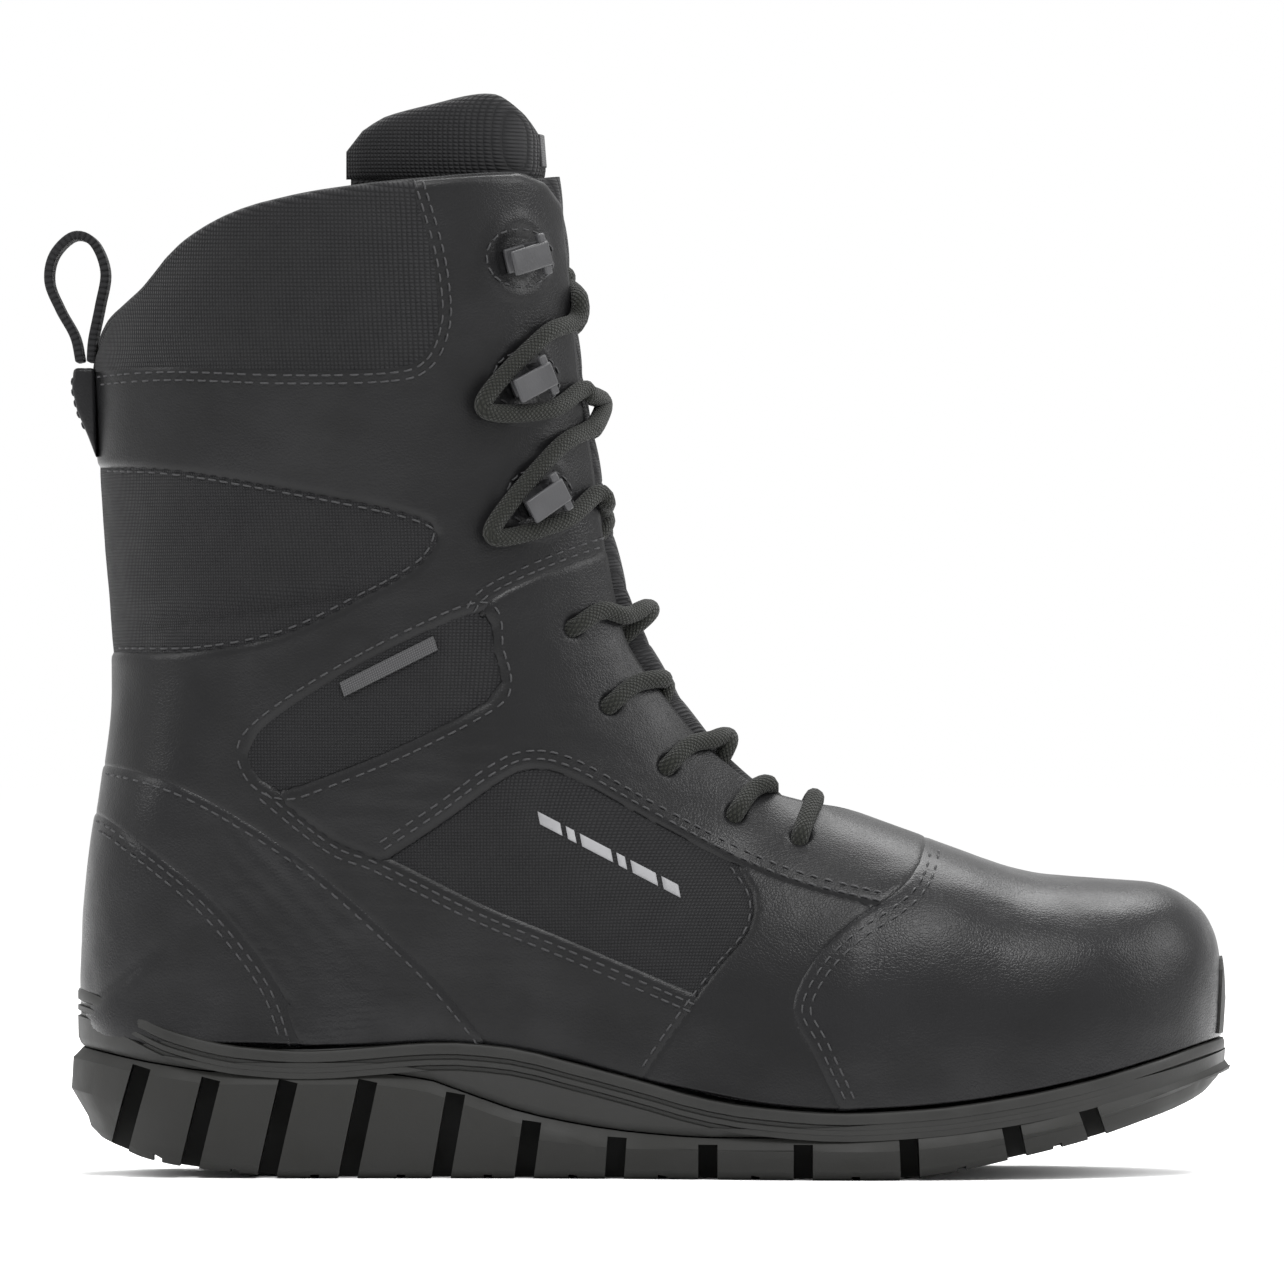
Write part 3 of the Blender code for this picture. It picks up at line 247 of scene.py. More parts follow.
def rib_curve(rib, side):
    """Points of one rib on one side, from the front centreline to its end."""
    fx, fz, ex, ez, a, w, b, wb, n = through(RIBS, rib)
    end = half_width(ex, UPPER_INSET, UPPER_HEEL_X, UPPER_TOE_X) if rib < HEEL_RIB else 0.0
    if rib < len(TOE_RIBS):
        w = wb = end
    climb = np.clip(SECTION / a, 0, 1)
    front = w * (1 - (1 - climb) ** n) ** (1 / n)
    close = np.clip((1 - SECTION) / (1 - b), 0, 1)
    back = end + (wb - end) * (1 - (1 - close) ** 2.1) ** (1 / 2.1)
    mix = smoothstep(a * 0.8, b, SECTION)
    half = front * (1 - mix) + back * mix
    x = fx + (ex - fx) * SECTION
    z = fz + (ez - fz) * SECTION
    middle = np.array([centre(px, pz) for px, pz in zip(x, z)])
    return np.column_stack((x, middle + side * half, z)), half


def on_rib(rib, half, side, lift=0.0):
    """Point on the front of a rib at a given half-width, raised off the surface."""
    def foot(r, h):
        points, halves = rib_curve(r, side)
        front = int(np.argmax(halves)) + 1
        return np.array([np.interp(h, halves[:front], points[:front, k]) for k in range(3)])

    point = foot(rib, half)
    along = foot(rib + 0.05, half) - foot(rib - 0.05, half)
    across = foot(rib, half + 0.4) - foot(rib, max(0.0, half - 0.4))
    normal = np.cross(along, across)
    chord = rib_curve(rib, side)[0]
    inside = (chord[0] + chord[-1]) / 2 * np.array([1, 0, 1])
    normal *= math.copysign(1.0, float(np.dot(normal, point - inside))) / np.linalg.norm(normal)
    return Vector(point + normal * lift), Vector(normal)


def facing_gap(rib):
    """Half-width of the opening between the facings."""
    opened = ease(THROAT_RIB, 9.2, rib) ** 0.5
    return FACING_GAP * opened * (0.66 + 0.34 * ease(10, 14, rib))


def lace_route():
    """Route of one strand, as (rib, half-width, lift), from the bottom bar to its end.

    A negative half-width is on the side where the strand starts.
    """
    over, under, tucked = 3.5, -5.4, -7.4
    route = [(8.9, 0.0, 1.2), (8.95, -9.5, over)]
    side = -1
    for k, (rib, half) in enumerate(EYELETS):
        if k > 0:
            route.append((rib - 0.12, side * (half - 5.5), over))
        route += [(rib, side * half, 2.4), (rib, side * half, -4.6)]
        route.append((rib + 0.12, side * (half - 5), under))
        after = EYELETS[k + 1] if k + 1 < len(EYELETS) else HOOKS[0]
        middle = (rib + after[0]) / 2
        reach = (after[0] - rib) / 2
        crown = 2.9 if k % 2 else -2.5
        edge = facing_gap(middle) - 1.0
        route += [(middle - 0.35 * reach, side * edge, under),
                  (middle - 0.1 * reach, side * 4.0, crown),
                  (middle + 0.1 * reach, -side * 4.0, crown)]
        side = -side
        route.append((middle + 0.35 * reach, side * edge, over))
    for k, (rib, half) in enumerate(HOOKS[:2]):
        step = LACE_STEP / 10.5 if k == 0 else LACE_STEP / 13.0
        route += [(rib - step, side * (FACING_GAP + 2), over),
                  (rib - step, side * (half - 2), 5.2), (rib, side * (half + 7.0), 5.7),
                  (rib + step, side * (half - 2), 5.2),
                  (rib + step, side * (FACING_GAP + 2), over)]
        middle = (rib + HOOKS[k + 1][0]) / 2 if k == 0 else rib + 1.4
        crown = -2.5 if k else 2.9
        edge = FACING_GAP - 1.0
        route += [(middle - 0.35, side * edge, over), (middle - 0.1, side * 4.0, crown),
                  (middle + 0.1, -side * 4.0, crown)]
        side = -side
        if k == 0:
            route.append((middle + 0.35, side * edge, over))
    route += [(22.6, side * (FACING_GAP - 2), under), (22.6, side * 18.0, -6.2),
              (22.0, side * 22.5, tucked), (21.0, side * 24.0, tucked),
              (19.0, side * 23.5, tucked), (17.4, side * 23.0, tucked)]
    return route


def strand_points(first_side):
    """Points of one strand in space, starting towards the given side."""
    points = []
    for rib, half, lift in lace_route():
        side = first_side if half < 0 else -first_side
        points.append(on_rib(rib, abs(half), side, lift)[0])
    return points


def ring_x(heel_x, toe_x, share):
    """Place along an outline, with more steps near its round ends."""
    swing = (1 - math.cos(math.pi * share)) / 2
    swing = 0.35 * swing + 0.65 * ease(0, 1, swing)
    return heel_x + (toe_x - heel_x) * swing


def rim_line():
    """Top edge of the midsole: the heel cup's rim, then the feather line."""
    return RIM + tuple(p for p in BOARD if p[0] > RIM[-1][0])


# ---------------------------------------------------------------- meshes and their surface grid

def link_mesh(name, data, scale=MM):
    """Object of a bmesh given in millimetres, shaded smooth."""
    data.transform(Matrix.Scale(scale, 4))
    for face in data.faces:
        face.smooth = True
    mesh = bpy.data.meshes.new(name)
    data.to_mesh(mesh)
    data.free()
    obj = bpy.data.objects.new(name, mesh)
    bpy.context.scene.collection.objects.link(obj)
    return obj


def finish_piece(obj, body, slot, material, *nodes):
    """Give a piece its material, its body and the CAD nodes that it stands for."""
    obj.data.materials.clear()
    obj.data.materials.append(material)
    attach(obj, body)
    if nodes:
        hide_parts(*nodes)
    return obj


def face_outwards(body):
    bmesh.ops.recalc_face_normals(body, faces=body.faces)
    if body.calc_volume(signed=True) < 0:
        bmesh.ops.reverse_faces(body, faces=body.faces)


def grid_faces(data, rows, uv=None, closed=False):
    """Faces between rows of vertices, with a UV map from uv(row, column)."""
    layer = data.loops.layers.uv.new("UVMap") if uv else None
    columns = len(rows[0])
    for r, (a, b) in enumerate(zip(rows, rows[1:])):
        for c in range(columns if closed else columns - 1):
            n = (c + 1) % columns
            face = data.faces.new((a[c], a[n], b[n], b[c]))
            if uv:
                spots = ((r, c), (r, c + 1), (r + 1, c + 1), (r + 1, c))
                for loop, spot in zip(face.loops, spots):
                    loop[layer].uv = uv(*spot)


def prism_faces(data, rows):
    """Closed body between two copies of an outline."""
    for row in rows:
        data.faces.new(row)
    near, far = rows
    for i in range(len(near)):
        n = (i + 1) % len(near)
        data.faces.new((near[i], near[n], far[n], far[i]))
    face_outwards(data)


def side_uv(place):
    """Place in a weave, in millimetres: round the boot and up it."""
    return place.x + abs(place.y), place.z


def thicken(obj, thickness, offset=-1.0):
    """Give an open sheet its thickness: inwards at offset -1, both ways at 0."""
    solid = obj.modifiers.new("thickness", "SOLIDIFY")
    solid.thickness = thickness * MM
    solid.offset = offset


def round_edges(obj, width, segments=3):
    soften = obj.modifiers.new("rounding", "BEVEL")
    soften.width = width * MM
    soften.segments = segments
    soften.limit_method = "ANGLE"
    soften.angle_limit = math.radians(50)


def cast_inwards(tree, side, x, z):
    """Point and normal where a sideways ray from outside first meets a tree."""
    return tree.ray_cast(Vector((x, side * OUTSIDE, z)), Vector((0, -side, 0)))[:2]


RIB_STEP = 0.11
COLUMNS = 150


def surface_grid(side, ribs, columns, start, end):
    """Points of one side of the upper's surface, one row for each rib."""
    rows = []
    for rib in ribs:
        points, halves = rib_curve(rib, side)
        run = np.concatenate(([0], np.cumsum(np.linalg.norm(np.diff(points, axis=0), axis=1))))
        front = int(np.argmax(halves)) + 1
        low, high = 0.0, run[-1]
        if start(rib) > 0:
            low = float(np.interp(start(rib), halves[:front], run[:front]))
        if end:
            high = float(np.interp(end(rib), halves[:front], run[:front]))
        marks = np.linspace(low, high, columns)
        rows.append(np.column_stack([np.interp(marks, run, points[:, k]) for k in range(3)]))
    return np.array(rows)


def grid_normals(points, side):
    """Unit normals of a grid, pointing out of the boot."""
    normal = np.cross(np.gradient(points, axis=1), np.gradient(points, axis=0)) * side
    length = np.linalg.norm(normal, axis=2, keepdims=True)
    return normal / np.maximum(length, 1e-9)


def two_sided(ribs, columns, start=facing_gap, end=None):
    """Points and normals of both sides, with one normal where the two sides meet."""
    points = {side: surface_grid(side, ribs, columns, start, end) for side in BOTH_SIDES}
    normals = {side: grid_normals(points[side], side) for side in points}
    touching = 0.05
    for column in (0, -1):
        gaps = np.linalg.norm(points[LATERAL][:, column] - points[MEDIAL][:, column], axis=1)
        meets = gaps < touching
        mean = normals[LATERAL][meets, column] + normals[MEDIAL][meets, column]
        mean[:, 1] = 0.0
        mean /= np.maximum(np.linalg.norm(mean, axis=1, keepdims=True), 1e-9)
        for side in normals:
            normals[side][meets, column] = mean
    return points, normals


# ---------------------------------------------------------------- regions of the side view

def run_of(name):
    return [tuple(p) for p in smooth_points(SEAMS[name], 5.0)]


def outline_distance(points, outline):
    """Signed distance from points (n, 2) to a closed outline, negative inside it."""
    corners = np.asarray(outline, dtype=float)
    after = np.roll(corners, -1, axis=0)
    best = np.full(len(points), 1e9)
    inside = np.zeros(len(points), dtype=bool)
    for a, b in zip(corners, after):
        span = b - a
        if not span.any():
            continue
        t = np.clip((points - a) @ span / (span @ span), 0, 1)
        best = np.minimum(best, np.linalg.norm(points - a - t[:, None] * span, axis=1))
        crosses = (a[1] > points[:, 1]) != (b[1] > points[:, 1])
        with np.errstate(divide="ignore", invalid="ignore"):
            at = a[0] + (points[:, 1] - a[1]) / (b[1] - a[1]) * span[0]
        inside ^= crosses & (points[:, 0] < at)
    return np.where(inside, -best, best)


def make_outlines():
    vamp, side, mesh = run_of("vamp"), run_of("side_panel"), run_of("mesh_top")
    quarter, facing, heel = run_of("quarter_line"), run_of("facing"), run_of("heel_band")
    loop = [tuple(p) for p in smooth_points(ANKLE_MESH_LOOP, 5.0, closed=True)]
    high = max(range(len(loop)), key=lambda i: loop[i][0] + loop[i][1])
    loop_back = min(range(len(loop)), key=lambda i: loop[i][0])
    below = []
    i = high
    while i != loop_back:
        below.append(loop[i])
        i = (i + 1) % len(loop)
    return {
        "toe_vamp": vamp + [(74.8, 130), (190, 130), (190, -20), (56, -20)],
        "side_panel": side + [(-3, -20), (56, -20)] + [p for p in vamp if p[1] < 70]
        + [p for p in mesh[::-1] if 25 < p[0] < 62],
        "quarter_mesh": mesh[:-1] + [(24.3, 83.4)] + [p for p in side if 47 < p[1] < 82] + quarter,
        "ankle_mesh": loop,
        "shaft_mesh": run_of("shaft_mesh"),
        "collar_mesh": run_of("collar") + [(-63, 330), (-170, 330), (-170, 210)],
        "heel_counter_cover": run_of("counter") + [(-87, -20), (-170, -20), (-170, 95)],
        "heel_band": heel + [(-34, -20), (-170, -20), (-170, 107)],
        "eyestay": mesh + [p for p in vamp if p[1] > 71.5] + [(74.8, 130), (30, 180)]
        + facing[::-1] + below + [(-99.5, 103.6)]
        + [p for p in quarter[::-1] if -97 < p[0] < -67.5],
        "above_collar": [tuple(p) for p in smooth_points(COLLAR_TOP, 5.0)]
        + [(40, 246), (40, 400), (-200, 400), (-200, 206)],
    }


OUTLINES = make_outlines()
LEATHER_OVERLAYS = ("toe_vamp", "side_panel", "heel_counter_cover", "heel_band", "eyestay")
TEXTILES = ("quarter_mesh", "ankle_mesh", "shaft_mesh", "collar_mesh")


def region(name, flat):
    """Signed distance in the side view to a panel's edge, negative inside the panel."""
    if name == "quarter":
        others = [outline_distance(flat, OUTLINES[o]) for o in LEATHER_OVERLAYS + TEXTILES]
        return -np.min(others, axis=0)
    distance = outline_distance(flat, OUTLINES[name])
    if name == "heel_band":
        distance = np.maximum(distance, -outline_distance(flat, OUTLINES["heel_counter_cover"]))
    return distance


# ---------------------------------------------------------------- panels

class Surface:
    """The upper's surface as a grid on each side, with what the panels share."""

    def __init__(self):
        self.ribs = np.arange(0, LAST_RIB + 0.001, RIB_STEP)
        self.points, self.normals = two_sided(self.ribs, COLUMNS)
        self.collar = {s: -outline_distance(self.flat(s), OUTLINES["above_collar"]) for s in self.points}
        self.hooks = {s: [np.array(on_rib(r, h, s)[0]) for r, h in HOOKS] for s in self.points}
        self.eyelets = {s: [np.array(on_rib(r, h, s)[0]) for r, h in EYELETS] for s in self.points}

    def flat(self, side):
        return self.points[side][:, :, (0, 2)].reshape(-1, 2)

    def nearest(self, side, spots):
        points = self.points[side].reshape(-1, 3)
        return np.min([np.linalg.norm(points - spot, axis=1) for spot in spots], axis=0)


def split(polygons, vertices, field, level):
    """Cut polygons along the line where their vertices' field passes a level."""
    cuts = {}
    result = []
    for polygon in polygons:
        values = [vertices[i][field] - level for i in polygon]
        if max(values) <= 0 or min(values) >= 0:
            result.append(polygon)
            continue
        low, high = [], []
        for k, i in enumerate(polygon):
            j = polygon[(k + 1) % len(polygon)]
            a, b = values[k], values[(k + 1) % len(polygon)]
            (low if a <= 0 else high).append(i)
            if (a <= 0) != (b <= 0):
                key = (min(i, j), max(i, j))
                if key not in cuts:
                    t = a / (a - b)
                    cuts[key] = len(vertices)
                    vertices.append(vertices[i] * (1 - t) + vertices[j] * t)
                low.append(cuts[key])
                high.append(cuts[key])
        result += [p for p in (low, high) if len(set(p)) > 2]
    return result


ROUNDING = ((0.0, -0.75), (-0.3, -0.28), (-0.8, -0.06), (-1.5, 0.0))   # (distance, lift) at an edge
ROUNDING_CURVE = tuple(zip(*ROUNDING[::-1]))


def leather_relief(place, edge):
    """Slow unevenness of stretched leather, with finer creases where the ankle bends."""
    swell = 0.28 * noise.noise(place * 0.045) + 0.10 * noise.noise(place * 0.16)
    ankle = math.exp(-(((place.x + 60) / 50) ** 2 + ((place.z - 105) / 60) ** 2))
    crease = 0.16 * noise.noise(Vector((place.x * 0.05, place.y * 0.05, place.z * 0.42)))
    return (swell + crease * ankle) * min(1.0, -edge / 6 if edge < 0 else 0.0)


def make_panel(surface, name, shape, sides, lift, grow=0.0, puff=0.0, relief=True):
    """One panel of the upper: clipped from the surface grid, with rounded edges and thickness."""
    data = bmesh.new()
    uv_of = {}
    for side in sides:
        edge = region(shape, surface.flat(side)) - grow
        edge = np.maximum(edge, surface.collar[side] + COLLAR_SETBACK)
        if shape in ("eyestay", "quarter"):
            edge = np.maximum(edge, EYELET_RADIUS - surface.nearest(side, surface.eyelets[side]))
        hooks = surface.nearest(side, surface.hooks[side])
        rows, columns = surface.points[side].shape[:2]
        vertices = list(np.column_stack((surface.points[side].reshape(-1, 3),
                                         surface.normals[side].reshape(-1, 3), edge, hooks)))
        index = np.arange(rows * columns).reshape(rows, columns)
        quads = np.stack((index[:-1, :-1], index[:-1, 1:], index[1:, 1:], index[1:, :-1]), axis=-1)
        quads = quads.reshape(-1, 4)
        quads = quads[edge[quads].min(axis=1) < 0]
        near = edge[quads].max(axis=1) > ROUNDING[-1][0]
        polygons = quads[near].tolist()
        for level, _ in ROUNDING:
            polygons = split(polygons, vertices, EDGE, level)
        kept = [p for p in polygons if np.mean([vertices[i][EDGE] for i in p]) < 0]
        made = {}
        for polygon in kept + quads[~near].tolist():
            for i in polygon:
                if i not in made:
                    row = vertices[i]
                    place = Vector(row[:3])
                    rise = lift + panel_relief(shape, place, row[EDGE], row[HOOK], puff, relief)
                    made[i] = data.verts.new(place + Vector(row[3:6]) * rise)
                    uv_of[made[i]] = side_uv(place)
            corners = [made[i] for i in polygon]
            if len(set(corners)) > 2:
                data.faces.new(corners if side == LATERAL else corners[::-1])
    layer = data.loops.layers.uv.new("UVMap")
    for face in data.faces:
        for loop in face.loops:
            loop[layer].uv = uv_of[loop.vert]
    bmesh.ops.remove_doubles(data, verts=data.verts, dist=0.03)
    obj = link_mesh(name, data)
    thicken(obj, PANEL_THICKNESS)
    return obj


def panel_relief(shape, place, edge, hook, puff, relief):
    """Height of a panel's surface over its own lift, from the distances to its edge and a hook."""
    rise = float(np.interp(edge, *ROUNDING_CURVE)) + puff * (1 - math.exp(min(0.0, edge) / 7))
    if relief:
        rise += leather_relief(place, edge)
    if shape == "quarter":
        rise += hook_relief(hook)
    if shape == "heel_band":
        rise += embossing(place)
    if shape == "shaft_mesh":
        rise += shaft_crease(place)
    return rise


def embossing(place):
    """Slanted lines pressed into the heel band."""
    pitch, depth = 5.2, 0.4
    along = place.x * 0.72 + place.z * 0.69
    inside = ease(-112, -104, place.x) * ease(-62, -72, place.x)
    line = abs((along / pitch) % 1.0 - 0.5) * pitch
    return -depth * inside * math.exp(-(line / 0.7) ** 2)


def shaft_crease(place):
    """Soft fold across the shaft's textile panel: a ridge over a groove."""
    line = place.z - 145.3 - (place.x + 125.4) * 0.166
    inside = ease(-132, -122, place.x) * ease(-66, -78, place.x)
    ridge = math.exp(-((line - 1.6) / 2.2) ** 2)
    groove = math.exp(-((line + 1.2) / 1.4) ** 2)
    return 0.7 * inside * (ridge - groove)


def hook_relief(distance):
    """Dish with a raised rim round each hook."""
    rim = 0.55 * math.exp(-((distance - 9.6) / 1.5) ** 2)
    return rim - 0.8 * (1 - ease(6.8, 9.2, distance))


# ---------------------------------------------------------------- materials

def new_material(name, colour, roughness, specular, sheen=0.0):
    material = bpy.data.materials.new(name)
    material.use_nodes = True
    tree = material.node_tree
    shader = tree.nodes["Principled BSDF"]
    shader.inputs["Base Color"].default_value = (*colour, 1)
    shader.inputs["Roughness"].default_value = roughness
    shader.inputs["Sheen Weight"].default_value = sheen
    shader.inputs["Sheen Roughness"].default_value = 0.4
    shader.inputs["Specular IOR Level"].default_value = specular
    return material, tree, shader


def node(tree, kind, **settings):
    made = tree.nodes.new(kind)
    for key, value in settings.items():
        setattr(made, key, value)
    return made


def noise_node(tree, scale, detail):
    place = node(tree, "ShaderNodeTexCoord")
    made = node(tree, "ShaderNodeTexNoise")
    made.inputs["Scale"].default_value = scale
    made.inputs["Detail"].default_value = detail
    tree.links.new(place.outputs["Object"], made.inputs["Vector"])
    return made.outputs["Fac"]


def spread(tree, value, low, high, start=0.3, stop=0.7):
    """A value's range start to stop stretched to low to high."""
    made = node(tree, "ShaderNodeMapRange")
    for key, number in zip(("From Min", "From Max", "To Min", "To Max"), (start, stop, low, high)):
        made.inputs[key].default_value = number
    tree.links.new(value, made.inputs["Value"])
    return made.outputs["Result"]


def mix_colour(tree, value, dark, light):
    made = node(tree, "ShaderNodeMix", data_type="RGBA")
    made.inputs["A"].default_value = (*dark, 1)
    made.inputs["B"].default_value = (*light, 1)
    tree.links.new(value, made.inputs["Factor"])
    return made.outputs["Result"]


def maths(tree, operation, *values):
    made = node(tree, "ShaderNodeMath", operation=operation)
    for socket, value in zip(made.inputs, values):
        if isinstance(value, (int, float)):
            socket.default_value = value
        else:
            tree.links.new(value, socket)
    return made.outputs[0]


def bump(tree, shader, *layers):
    """Chain of bump nodes, each (height, strength, depth in mm)."""
    normal = None
    for height_socket, strength, depth in layers:
        made = node(tree, "ShaderNodeBump")
        made.inputs["Strength"].default_value = strength
        made.inputs["Distance"].default_value = depth * MM
        tree.links.new(height_socket, made.inputs["Height"])
        if normal:
            tree.links.new(normal, made.inputs["Normal"])
        normal = made.outputs["Normal"]
    tree.links.new(normal, shader.inputs["Normal"])


def worn(tree, shader, wear, dark, light, rough, smooth):
    """Vary a shader's colour and roughness with a wear value."""
    tree.links.new(mix_colour(tree, spread(tree, wear, 0, 1), dark, light), shader.inputs["Base Color"])
    tree.links.new(spread(tree, wear, rough, smooth), shader.inputs["Roughness"])


def leather_material(name, colour, roughness):
    material, tree, shader = new_material(name, colour, roughness, specular=0.16)
    cells = node(tree, "ShaderNodeTexVoronoi", feature="DISTANCE_TO_EDGE")
    cells.inputs["Scale"].default_value = 1100
    place = node(tree, "ShaderNodeTexCoord")
    tree.links.new(place.outputs["Object"], cells.inputs["Vector"])
    grain = spread(tree, cells.outputs["Distance"], 0, 1, 0.0, 0.25)
    wear = noise_node(tree, 55, 6)
    fine = noise_node(tree, 420, 3)
    lighter = tuple(c * 1.7 for c in colour)
    worn(tree, shader, wear, colour, lighter, roughness + 0.06, roughness - 0.08)
    bump(tree, shader, (grain, 0.35, 0.08), (fine, 0.35, 0.12), (wear, 0.3, 0.5))
    return material


def weave_material(name, dark, light, pitch, depth):
    """Woven textile: rows of raised dots, each row offset by half a pitch."""
    roughness = 0.85
    material, tree, shader = new_material(name, dark, roughness, specular=0.2, sheen=0.06)
    uv = node(tree, "ShaderNodeUVMap", uv_map="UVMap")
    parts = node(tree, "ShaderNodeSeparateXYZ")
    tree.links.new(uv.outputs["UV"], parts.inputs["Vector"])
    turn = math.pi / pitch
    across = maths(tree, "SINE", maths(tree, "MULTIPLY", parts.outputs["X"], turn))
    along = maths(tree, "SINE", maths(tree, "MULTIPLY", parts.outputs["Y"], turn))
    dots = maths(tree, "ABSOLUTE", maths(tree, "MULTIPLY", across, along))
    patch = noise_node(tree, 130, 3)
    blend = maths(tree, "MULTIPLY", dots, spread(tree, patch, 0.75, 1.0))
    tree.links.new(mix_colour(tree, blend, dark, light), shader.inputs["Base Color"])
    tree.links.new(spread(tree, patch, roughness - 0.1, roughness + 0.05), shader.inputs["Roughness"])
    bump(tree, shader, (dots, 0.9, depth), (noise_node(tree, 900, 2), 0.4, 0.1))
    return material


def rubber_material(name, colour, roughness):
    material, tree, shader = new_material(name, colour, roughness, specular=0.3)
    wear = noise_node(tree, 70, 5)
    fine = noise_node(tree, 1300, 2)
    lighter = tuple(c * 1.5 for c in colour)
    worn(tree, shader, wear, colour, lighter, roughness - 0.08, roughness + 0.12)
    bump(tree, shader, (fine, 0.4, 0.08), (wear, 0.2, 0.3))
    return material


def make_materials():
    """Materials by name, each with its colours, and its roughness or its weave's pitch and depth."""
    black_textile = (0.0035, 0.0035, 0.004), (0.014, 0.014, 0.015)
    weaves = {
        "mesh": ("mesh_textile", *black_textile, 0.85, 0.35),
        "collar": ("collar_textile", *black_textile, 1.0, 0.45),
        "lining": ("lining_textile", (0.010, 0.010, 0.011), (0.035, 0.035, 0.036), 1.8, 0.5),
        "webbing": ("webbing", (0.004, 0.004, 0.0045), (0.013, 0.013, 0.014), 1.5, 0.5),
        "lace": ("lace_braid", (0.005, 0.0055, 0.0045), (0.019, 0.020, 0.016), 1.3, 0.5),
        "label": ("label_weave", (0.030, 0.030, 0.031), (0.075, 0.075, 0.077), 0.6, 0.15),
    }
    rubbers = {
        "thread": ("thread", (0.018, 0.018, 0.019), 0.5),
        "sole": ("sole_rubber", (0.0068, 0.0068, 0.0060), 0.6),
        "midsole": ("midsole_rubber", (0.0080, 0.0080, 0.0074), 0.5),
        "hook": ("hook_nylon", (0.026, 0.026, 0.0275), 0.38),
        "footbed": ("footbed_foam", (0.03, 0.03, 0.032), 0.85),
        "print": ("print", (0.16, 0.16, 0.165), 0.55),
        "hidden": ("hidden", (0.2, 0.2, 0.2), 0.7),
    }
    return {
        "leather": leather_material("leather", (0.0048, 0.0048, 0.0051), 0.35),
        "overlay": leather_material("overlay_leather", (0.0056, 0.0056, 0.006), 0.32),
        **{key: weave_material(*values) for key, values in weaves.items()},
        **{key: rubber_material(*values) for key, values in rubbers.items()},
    }


# ---------------------------------------------------------------- sole

def sole_bmesh(levels, steps):
    """Closed body of stacked outlines; a level is (inset, heel x, toe x, height line, lift)."""
    body = bmesh.new()
    rings = []
    for inset, heel_x, toe_x, line, lift in levels:
        sides = {LATERAL: [], MEDIAL: []}
        for i in range(steps + 1):
            x = ring_x(heel_x, toe_x, i / steps)
            wide = half_width(x, inset, heel_x, toe_x)
            for side in sides:
                if i in (0, steps) and side == MEDIAL:
                    sides[side].append(sides[LATERAL][-1])
                    continue
                place = (x, centre(x) + side * wide, height(line, x) + lift)
                sides[side].append(body.verts.new(place))
        rings.append(sides)
    for lower, upper in zip(rings, rings[1:]):
        for side in BOTH_SIDES:
            a, b = lower[side], upper[side]
            for i in range(steps):
                corners = [a[i], a[i + 1], b[i + 1], b[i]]
                body.faces.new(corners if side == LATERAL else corners[::-1])
    for ring in (rings[0], rings[-1]):
        for i in range(steps):
            corners = [ring[LATERAL][i], ring[LATERAL][i + 1], ring[MEDIAL][i + 1], ring[MEDIAL][i]]
            body.faces.new(list(dict.fromkeys(corners)))
    face_outwards(body)
    return body


def box_bmesh(size, place, lean=0.0):
    """Box of a size about a place, leaning along the boot by an angle in degrees."""
    data = bmesh.new()
    bmesh.ops.create_cube(data, size=1.0)
    data.transform(Matrix.Diagonal((*size, 1.0)))
    data.transform(Matrix.Rotation(math.radians(lean), 4, "Y"))
    data.transform(Matrix.Translation(place))
    return data


def carve(obj, cutters):
    """Cut boxes out of a piece."""
    made = []
    for data in cutters:
        cutter = link_mesh("cutter", data)
        modifier = obj.modifiers.new("cut", "BOOLEAN")
        modifier.solver = "MANIFOLD"
        modifier.object = cutter
        made.append(cutter)
    mesh = bpy.data.meshes.new_from_object(obj.evaluated_get(bpy.context.evaluated_depsgraph_get()))
    obj.modifiers.clear()
    obj.data = mesh
    for cutter in made:
        bpy.data.objects.remove(cutter, do_unlink=True)


def smooth_by_angle(obj, degrees):
    obj.data.shade_smooth()
    obj.data.set_sharp_from_angle(angle=math.radians(degrees))


SOLE_SIDE = ((-152, 23), (-100, 15), (-60, 14), (0, 8), (60, 7.6), (100, 12), (157, 28.6))


def make_outsole(materials):
    """Tread with a slanted slot at each side place and grooves across between them."""
    levels = (
        (7.0, -139.0, 146.0, GROUND, 0.0),
        (5.2, -141.6, 149.6, GROUND, 0.35),
        (3.2, -144.2, 152.6, GROUND, 2.2),
        (2.4, -145.0, 153.6, GROUND, 4.6),
        (0.0, HEEL_X, TOE_X, SOLE_SIDE, 0.0),
        (0.6, -148.8, 155.5, PARTING, -3.0),
        (1.2, -148.0, 155.3, PARTING, -2.2),
        (2.6, -146.2, 154.0, PARTING, 0.0),
    )
    outsole = link_mesh("sole_tread", sole_bmesh(levels, SOLE_STEPS))
    slot, groove, sipe = (5.0, 27.0), (4.0, 40.0, 9.0), (2.2, 17.0, 5.0)
    below = 12.0
    cutters = []
    for x, lean in zip(SLOT_X, SLOT_LEAN):
        top = height(PARTING, x) - 1.6
        tall = top + below
        slant = math.tan(math.radians(lean)) * (tall / 2 - top + 9)
        for side in BOTH_SIDES:
            place = (x - slant, centre(x) + side * (half_width(x) - 5.5), top - tall / 2)
            cutters.append(box_bmesh((*slot, tall), place, lean))
    for x, after in zip(SLOT_X, SLOT_X[1:]):
        middle = (x + after) / 2
        floor = height(GROUND, middle)
        cutters.append(box_bmesh(groove, (middle, centre(middle), floor)))
        for side in BOTH_SIDES:
            edge = centre(middle) + side * (half_width(middle) - 13)
            cutters.append(box_bmesh(sipe, (middle, edge, floor)))
    carve(outsole, cutters)
    smooth_by_angle(outsole, 28)
    round_edges(outsole, 0.5, 2)
    finish_piece(outsole, "root", "rubber", materials["sole"], "outsole")


